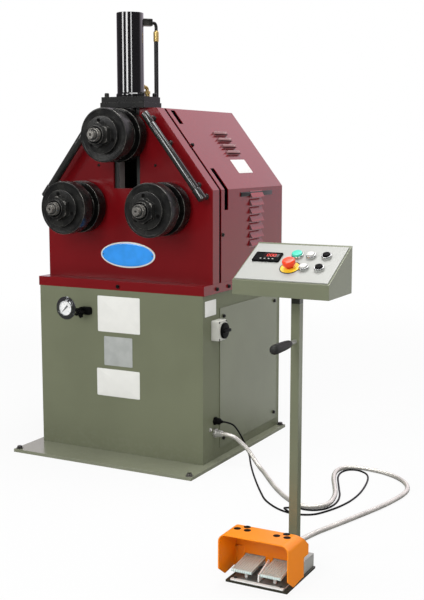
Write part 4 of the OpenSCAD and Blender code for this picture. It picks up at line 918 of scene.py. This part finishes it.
def add_plates():
    """Plain plates on the cabinet and the cover, and the oval badge on the front plate."""
    for name, low, high, finish in (
        ("front_plate_upper", (-92, 474), (94, 610), PLATE),
        ("front_plate_middle", (-65, 346), (60, 457), ALUMINIUM),
        ("front_plate_lower", (-99, 227), (91, 332), PLATE),
    ):
        x, z = np.add(high, low) / 2
        card = block(*np.subtract(high, low), 4, CARD_T, CARD_EDGE)
        piece(name, aimed(card, mm(x, CABINET_FRONT, z), FRONT), finish)
    for name, wide, tall, place, along in (
        ("side_plate", 86, 57, mm(CABINET_SIDE, -203, 584.5), RIGHT),
        ("slope_plate", 122, 64, on_slope(1, 273.5, 169.5), (SLOPE[1], 0, SLOPE[0])),
    ):
        piece(name, aimed(block(wide, tall, 2, CARD_T, CARD_EDGE), place, along, BACK), PLATE)

    rivet = lathe([(0, 0), (3, 0), (2.6, 0.8), (1.5, 1.5), (0, 1.8)], 0, 16)
    corners = [mm(x, CABINET_FRONT - CARD_T, z) for x in (-59, 54) for z in (352, 451)]
    screws("plate_rivets", rivet, corners, FRONT, ALUMINIUM)

    rim = slab(oval(240, 98), edged(2.4, 0.8))
    field = slab(oval(228, 87), [(0, 2), (0, 2.6), (0.5, 2.9), (6, 3.3)])
    for name, shape, finish in (("badge_rim", rim, PLATE), ("badge_field", field, ENAMEL)):
        piece(name, aimed(shape, mm(1, FRONT_PLATE, 761), FRONT), finish)
    screws("badge_pins", rivet, [mm(x, FRONT_PLATE - 2.9, 761) for x in (-107, 109)], FRONT)


LOUVRE_PITCH, LOUVRE_Y, LOUVRE_W = 31, 165, 105


def add_louvres():
    """Painted shade at the louvres: dark strips in the mouths of the slanted louvres, half-shade
    strips below them and under the upright ones, and a bar above the upright ones.
    """
    shade_strip, gap_shade_strip = strip(LOUVRE_W, 5, 1, 0.6), strip(LOUVRE_W, 5.2, 1, 0.4)
    dark_shade_strips, half_shade_strips = [], []
    for side in (-1, 1):
        down = (side * SLOPE[0], 0, -SLOPE[1])
        for k in range(4):
            run = 124 + LOUVRE_PITCH * k
            dark_shade_strips.append(aimed(shade_strip, on_slope(side, run, LOUVRE_Y, 7.7), down, BACK))
            half_shade_strips.append(aimed(shade_strip, on_slope(side, run, LOUVRE_Y, 2.6), down, BACK))
        for k in range(7):
            place = mm(side * COVER_SIDE, LOUVRE_Y, 969.6 - LOUVRE_PITCH * k)
            half_shade_strips.append(aimed(gap_shade_strip, place, (side, 0, 0), BACK))
    piece("louvre_shade_strips", joined(*dark_shade_strips), LOUVRE_SHADE)
    piece("louvre_half_shade_strips", joined(*half_shade_strips), LOUVRE_HALF_SHADE)
    bar = block(280, 16, 1.5, 4, 0.8)
    piece("louvre_bar", aimed(bar, mm(COVER_SIDE, 172, 986), RIGHT, BACK), SCREW)


add_screws()
add_plates()
add_louvres()

# Pressure gauge and valve
GAUGE = (-237, CABINET_FRONT, 552)
DIAL_OUT, DIAL_R, SCALE_START, SCALE_SWEEP = 3, 26, 225, 270


def on_gauge(name, shape, finish, body="machine", hides=None):
    piece(name, aimed(shape, mm(*GAUGE), FRONT), finish, body, hides)


def on_scale(share):
    """A direction on the dial, by a share of the scale's sweep."""
    turn = math.radians(SCALE_START - SCALE_SWEEP * share)
    return np.array([math.cos(turn), math.sin(turn), 0])


def figure(name, text, size, at, finish):
    """A flat figure of the built-in typeface, made a mesh and set upright on the dial."""
    curve = bpy.data.curves.new(name, "FONT")
    curve.body, curve.size = text, size
    curve.align_x, curve.align_y = "CENTER", "CENTER"
    drawn = bpy.data.objects.new(name + "_drawn", curve)
    mesh = bpy.data.meshes.new_from_object(drawn)
    bpy.data.objects.remove(drawn)
    mesh.transform(Matrix.Translation(at.tolist()) @ Matrix.Rotation(TURN / 4, 4, "X"))
    mesh.materials.clear()
    carried(name, mesh, finish, "machine")


def add_gauge():
    """A flanged gauge: chrome bezel ring, white dial with ticks and figures, clear cover."""
    ring = [
        (26, 0), (44.5, 0), (44.5, 1.8), (35.4, 2.6), (34.4, 7.4), (32, 9), (29, 9), (28, 7.2),
        (28, 2.6), (26, 2.6),
    ]
    heads = [aimed(cap_screw(7, 4.5), at + mm(0, 0, 1.6)) for at in ring_of(3, 90, 40)]
    bezel = joined(lathe(ring, 0.6, 72, loop=True), *heads)
    on_gauge("gauge_bezel", bezel, PAINT["gauge_chrome"], hides="gauge_case")
    face = lathe([(0, 0.2), (28.2, 0.2), (28.2, DIAL_OUT), (0, DIAL_OUT)], 0, 64)
    on_gauge("gauge_dial", face, DIAL)
    cover = lathe([(0, 8), (18, 7.8), (28.4, 7), (28.4, 6.4), (18, 7), (0, 7.2)], 0, 64)
    on_gauge("gauge_glass", cover, GLASS)

    ticks = []
    for k in range(51):
        length, wide = (5.2, 0.9) if k % 10 == 0 else (3.6, 0.6) if k % 5 == 0 else (2.4, 0.35)
        spot = on_scale(k / 50)
        at = spot * mm(DIAL_R - length / 2) + mm(0, 0, DIAL_OUT)
        ticks.append(aimed(strip(length, wide, 0.1, 0.15, 2), at, UP, spot))
    on_gauge("gauge_ticks", joined(*ticks), INK)
    for k in range(6):
        x, z, _ = 16.5 * on_scale(k / 5)
        at = mm(GAUGE[0] + x, GAUGE[1] - DIAL_OUT - 0.1, GAUGE[2] + z)
        figure("gauge_figure_%d" % k, str(5 * k), mm(5.4), at, INK)

    needle = [(-13, -4), (-3, -3.2), (22, -1), (22, 1), (-3, 3.2), (-13, 4)]
    blade = slab(softened(needle, 0.3, 3, closed=True), [(0, 4.7), (0, 5.5)])
    boss = lathe([(0, 4.4), (4, 4.4), (4, 5.7), (3, 6.3), (0, 6.5)], 0, 24)
    pointer = joined(aimed(blade, across=(-1, -1, 0)), boss)
    on_gauge("gauge_pointer", pointer, PAINT["pointer_black"], "pointer", "gauge_needle")


def add_valve():
    """A five-lobed knob on a stem, out of a flat body on the cabinet."""
    black = PAINT["black_plastic"]
    layers = [(3, 23), (0.8, 24.2), (0, 26.5), (0, 37), (0.9, 39.6), (3.2, 41.2), (9, 42)]
    stem = [
        (0, 0), (13, 0), (13, 5), (9, 6.5), (9, 12), (7, 13), (7, 19), (11, 20.5), (11, 24),
        (0, 24),
    ]
    cap = lathe([(0, 41.5), (6, 41.5), (5, 42.6), (0, 43)], 0, 24)
    star = joined(slab(lobed(17.5, 5, 4.5), layers), lathe(stem, 0.8), cap)
    star = aimed(star, mm(-152, CABINET_FRONT, 546), FRONT)
    piece("valve_star", star, black, "valve", "valve_knob")
    body = aimed(block(46, 30, 9, 14, 3), mm(-140, CABINET_FRONT, 549), FRONT)
    piece("valve_body", body, black)


add_gauge()
add_valve()


# Isolator, cable gland and conduit connector on the right side
def on_side(name, shape, y, z, finish, body="machine", hides=None):
    piece(name, aimed(shape, mm(CABINET_SIDE, y, z), RIGHT, BACK), finish, body, hides)


def add_isolator():
    """A rounded switch box with a raised face, and a round knob with a grip bar."""
    y, z = -165, 500
    box = joined(block(64, 74, 5, 31, 3), block(56, 58, 4, 35, 1.2, 30))
    on_side("isolator_box", box, y, z, PAINT["grey_plastic"], hides="isolator_body")
    corners = [mm(CABINET_SIDE + 30, y + j, z + k) for j in (-26, 26) for k in (-31, 31)]
    screws("isolator_screws", cap_screw(8, 3), corners, RIGHT)
    knob = [(0, 35.5), (29, 35.5), (30, 36.5), (30, 42), (27.5, 44.5), (0, 44.5)]
    knob = joined(lathe(knob, 1.2, 64), block(56, 12, 4, 53, 2.4, 43))
    on_side("isolator_grip", knob, y, z, PAINT["black_plastic"], "isolator", "isolator_knob")


def add_entries():
    """Cable gland: hexagon, cap and tapered tip. Conduit connector: hexagon, body and ferrule."""
    gland = joined(
        lathe([(0, 0), (15.6, 0), (15.6, 7), (13.6, 8), (0, 8)], 0, 48, flats=27),
        lathe([(0, 8), (12.5, 8), (12.5, 20), (10.5, 25), (7, 26.5), (0, 26.5)], 1.2, 40),
        lathe([(0, 26), (6.5, 26), (5, 34), (0, 34)], 0.8),
    )
    connector = joined(
        lathe([(0, 0), (17.3, 0), (17.3, 8), (15.2, 9), (0, 9)], 0, 48, flats=30),
        lathe([(0, 9), (13, 9), (13, 11), (12.2, 12), (13, 13), (13, 21), (0, 21)], 0.6, 40),
        lathe([(0, 21), (11.6, 21), (11.6, 31), (10, 34), (0, 34)], 0.8, 40),
    )
    for name, shape, z, finish, node in (
        ("gland", gland, 158, "black_plastic", "cable_gland"),
        ("connector", connector, 112, "bright_steel", "conduit_connector"),
    ):
        shape = aimed(shape, mm(CABINET_SIDE, -170, z), RIGHT)
        piece(name, shape, PAINT[finish], hides=node)
    stud = hex_bolt(10, 5, 15, 1.5)
    screws("earth_stud", stud, [mm(CABINET_SIDE, -206, 132)], RIGHT, PAINT["bright_steel"])


add_isolator()
add_entries()

# Console
CONSOLE = (846.5, -1004, 804)
PITCH = math.radians(27.772)
PANEL_UP = (0, -math.sin(PITCH), math.cos(PITCH))
PANEL_ON = (0, math.cos(PITCH), math.sin(PITCH))
PANEL_INSET, PANEL_W, PANEL_L, PANEL_T = 5, 269, 174, 3


def on_panel(share_across, share_up):
    """A place on the slanted panel, by shares of its width and of its length up the slope."""
    across = np.array([PANEL_INSET + PANEL_W * share_across, 0, 0])
    up = (PANEL_INSET + PANEL_L * share_up) * np.array(PANEL_ON)
    return (np.array(CONSOLE) + across + up + PANEL_T * np.array(PANEL_UP)) * MM


def on_console(name, shape, place, finish, body="machine", hides=None):
    piece(name, aimed(shape, on_panel(*place), PANEL_UP), finish, body, hides)


# Bars of a nought: shares of its width and of half its height, and whether the bar is upright
BARS = ((0, 1, 0), (0.5, 0.5, 1), (0.5, -0.5, 1), (0, -1, 0), (-0.5, -0.5, 1), (-0.5, 0.5, 1))


def noughts(count, width, height, x, y, z):
    """Noughts of bars, in millimetres: each bar lies level or upright at its share of the size."""
    shapes = []
    for k in range(count):
        for across, up, upright in BARS:
            size = (0.16 * width, 0.44 * height) if upright else (0.8 * width, 0.16 * width)
            bar = strip(*size, 0.05 * width, 0.2, 2)
            at = mm(x + 1.5 * width * k + across * width, y + up * height / 2, z)
            shapes.append(aimed(bar, at))
    return joined(*shapes)


def add_meter():
    """A framed meter: raised rim, dark window, red figures and a row of keys."""
    place = (0.208, 0.6)
    rim = [(0, 0), (0, 4), (1, 5.4), (3.2, 5.4), (4, 4.6)]
    rim = slab(rounded_rectangle(80, 42, 3), rim)
    on_console("meter", rim, place, PAINT["black_plastic"], hides="panel_meter")
    key = block(5, 3, 1, 5.4, 0.4, 4)
    keys = joined(*(aimed(key, mm(x, -11, 0)) for x in (-16, -4, 8, 20)))
    on_console("meter_keys", keys, place, PAINT["grey_plastic"])
    window = aimed(block(46, 17, 1.5, 5.0, 0.3, 4), mm(10, 6, 0))
    on_console("meter_window", window, place, WINDOW)
    on_console("meter_figures", noughts(3, 6.5, 10, 1, 6, 5.0), place, RED_LIGHT)


# Push buttons: place on the panel, finish, node, radius
BUTTONS = {
    "start": ((0.52, 0.68), "green_plastic", "start_button", 14.5),
    "white_front": ((0.668, 0.345), "white_plastic", "white_button_front", 10.8),
    "white_rear": ((0.668, 0.68), "white_plastic", "white_button_rear", 10.8),
    "black_front": ((0.832, 0.35), "black_plastic", "black_button_front", 10.8),
    "black_rear": ((0.835, 0.685), "black_plastic", "black_button_rear", 10.8),
}
STOP = (0.516, 0.355)


def add_buttons():
    """Bright bezel rings, domed buttons and a mushroom head on a yellow ring."""
    narrow = lathe([(11, 0), (14.5, 0), (14.5, 3), (13.4, 8.6), (11, 8.6)], 0.7, 48, loop=True)
    wide = lathe([(14.7, 0), (17, 0), (17, 3), (16.4, 7), (14.7, 7)], 0.7, 48, loop=True)
    rings = [
        aimed(wide if name == "start" else narrow, on_panel(*row[0]), PANEL_UP)
        for name, row in BUTTONS.items()
    ]
    piece("bezel_rings", joined(*rings), PAINT["bezel"], hides="button_bezels")
    collar = lathe([(9, 0), (16.2, 0), (16.2, 2.2), (9, 2.2)], 0.7, 48, loop=True)
    on_console("stop_collar", collar, STOP, YELLOW)
    for name, (place, finish, node, r) in BUTTONS.items():
        dome = lathe([(0, -5), (r, -5), (r, 11.6), (0.86 * r, 12.8), (0, 13)], 1.5, 48, steps=6)
        on_console(name + "_dome", dome, place, PAINT[finish], name, node)
    for name, low, high, finish in (
        ("stop_ring", 16.4, 26.2, YELLOW), ("stop_ring_rim", 26.2, 29, INK),
    ):
        flat = lathe([(low, 0), (high, 0), (high, 1.2), (low, 1.2)], 0.3, 64, loop=True)
        on_console(name, flat, STOP, finish)
    head = [(0, -4), (8.5, -4), (8.5, 9.5), (15, 10), (18, 12), (18, 22), (15.5, 26), (0, 27)]
    head = lathe(head, 3, 64, steps=6)
    on_console("stop_head", head, STOP, PAINT["red_plastic"], "estop", "estop_button")


def add_handle():
    """A turned grip that swells towards its rounded free end."""
    profile = [
        (0, 0), (8, 0), (10.6, 9), (12.4, 30), (13.4, 70), (13.8, 94), (12.4, 108), (7, 115),
        (0, 116),
    ]
    grip = aimed(lathe(profile, 7, 48, steps=6), mm(994, -948.5, 632), FRONT)
    piece("handle", grip, GRIP, hides="handle_grip")


add_meter()
add_buttons()
add_handle()

# Foot pedal trim
PEDAL_X, GUARD_TOP, LINING_FRONT, LINING_BACK = 977, 140, -1036.6, -1032.4


def add_pedal_trim():
    """Screws of the pedal base, the lining at the back of the guard and plugs in its roof."""
    screws("pedal_screws", cap_screw(9, 3), [mm(x, -1106, 10) for x in (910, 1044)], UP)
    wing = [
        (-101.5, -1047), (-98.5, -1047), (-98.5, LINING_FRONT), (-73.5, LINING_FRONT),
        (-73.5, LINING_BACK), (-101.5, LINING_BACK),
    ]
    wall = slab(softened(wing, 4, 4, closed=True), [(0, 19), (0, 74)])
    tongue = [(-11, LINING_FRONT), (11, LINING_FRONT), (11, LINING_BACK), (-11, LINING_BACK)]
    tongue = slab(softened(tongue, 0.5, 3, closed=True), [(0, 14), (0, 56)])
    points, quads = joined(wall, (wall[0] * (-1, 1, 1), wall[1]), tongue)
    piece("guard_lining", (points + mm(PEDAL_X, 0, 0), quads), PAINT["guard_orange"])
    plug = lathe([(0, -3), (9.9, -3), (9.9, 0.2), (9, 0.6), (0, 0.8)], 0.3)
    spots = [
        mm(PEDAL_X + side * 58 + x, y, GUARD_TOP)
        for side in (-1, 1) for x, y in ((-15, -1084), (15, -1084), (4, -1062))
    ]
    screws("guard_plugs", plug, spots, UP, PAINT["black_plastic"])


add_pedal_trim()

# Strengths of the surround: light on the object, and what a gloss mirrors in front, behind and high
AMBIENT, ROOM, LEVEL, HIGH = 0.42, 0.1, 0.85, 0.45
WHITE, MIRRORED_CAST = (1, 1, 1, 1), (1.02, 0.92, 1.03, 1)
FLOOR_R, FLOOR_Z, FLOOR_SIDES, FLOOR_GREY = 14, -0.0004, 96, (0.62, 0.62, 0.62, 1)


def ray_kinds(nodes):
    """Rays that show the background itself, and rays mirrored by a gloss."""
    camera, glossy, through = (
        nodes.node("LightPath", out="Is %s Ray" % kind)
        for kind in ("Camera", "Glossy", "Transmission")
    )
    return camera.greater(through), glossy


def add_floor():
    """A pale round floor that keeps the shadow."""
    a = round_angles(FLOOR_SIDES)
    mesh = bpy.data.meshes.new("floor")
    rim = np.stack([FLOOR_R * np.cos(a), FLOOR_R * np.sin(a), 0 * a + FLOOR_Z], -1)
    mesh.from_pydata(rim.tolist(), [], [list(range(FLOOR_SIDES))])
    floor = bpy.data.objects.new("floor", mesh)
    bpy.context.scene.collection.objects.link(floor)
    fixed = {"Base Color": FLOOR_GREY, "Roughness": 0.9, "Specular IOR Level": 0.0}
    f = Finish("floor", None, fixed)
    far = f.node("VectorMath", {"operation": "LENGTH"}, {0: f.place}, "Value").step(1.2, 4.5)
    seen, glossy = ray_kinds(f)
    mirrored = glossy * (1 - seen)
    room = ROOM + (LEVEL - ROOM) * f.axis("Y").step(0.0, 0.9)
    white = f.node("Emission", {}, {"Strength": 1 + mirrored * (room - 1)})
    lit_share = seen * (0.9 + 0.1 * far) + mirrored
    own = Value(f, f.shader.outputs[0])
    mix = f.node("MixShader", {}, {0: lit_share, 1: own, 2: white})
    f.feed(f.first("OUTPUT_MATERIAL").inputs["Surface"], mix)
    mesh.materials.append(f.material)


def add_surround():
    """A white surround, which lights the object softly and is dark in front for a gloss."""
    world = bpy.data.worlds.new("surround")
    bpy.context.scene.world = world
    w = Nodes(world)
    seen, glossy = ray_kinds(w)
    place = w.node("TexCoord", out="Generated")
    behind, height = (w.node("SeparateXYZ", {}, {0: place}, axis) for axis in "YZ")
    backdrop = LEVEL + HIGH * height.step(0.1, 0.45)
    level = AMBIENT + glossy * (ROOM + (backdrop - ROOM) * behind.step(0.4, 0.8) - AMBIENT)
    sky = w.first("BACKGROUND")
    w.feed(sky.inputs["Color"], w.blend(glossy * (1 - seen), WHITE, MIRRORED_CAST))
    w.feed(sky.inputs["Strength"], level + seen * (1 - level))


def add_lamps():
    """Soft studio lamps: strips in front, a broad one at the side and one above."""
    for name, place, aim, wide, tall, power in (
        ("left", (-2.7, -4.3, 3.0), (0.0, -0.2, 1.2), 1.0, 2.4, 64),
        ("front", (0.3, -4.9, 3.0), (0.1, -0.3, 0.9), 1.2, 2.6, 90),
        ("right", (3.3, -4.0, 3.0), (0.3, -0.2, 1.0), 0.6, 2.4, 40),
        ("side", (4.6, -0.2, 2.8), (0.3, 0.0, 0.7), 3.2, 3.2, 26),
        ("top", (0.6, 0.1, 5.0), (0.4, -0.2, 0.7), 3.0, 3.0, 200),
    ):
        data = bpy.data.lights.new(name, "AREA")
        data.shape = "RECTANGLE"
        data.energy, data.size, data.size_y = power, wide, tall
        lamp = bpy.data.objects.new(name, data)
        lamp.visible_glossy = name != "side"
        w = unit(np.subtract(place, aim))
        u = unit(np.cross(UP, w))
        turn = Matrix(np.stack([u, np.cross(w, u), w], -1).tolist()).to_4x4()
        lamp.matrix_world = Matrix.Translation(place) @ turn
        bpy.context.scene.collection.objects.link(lamp)


add_floor()
add_surround()
add_lamps()
bpy.context.scene.view_settings.view_transform = "Standard"
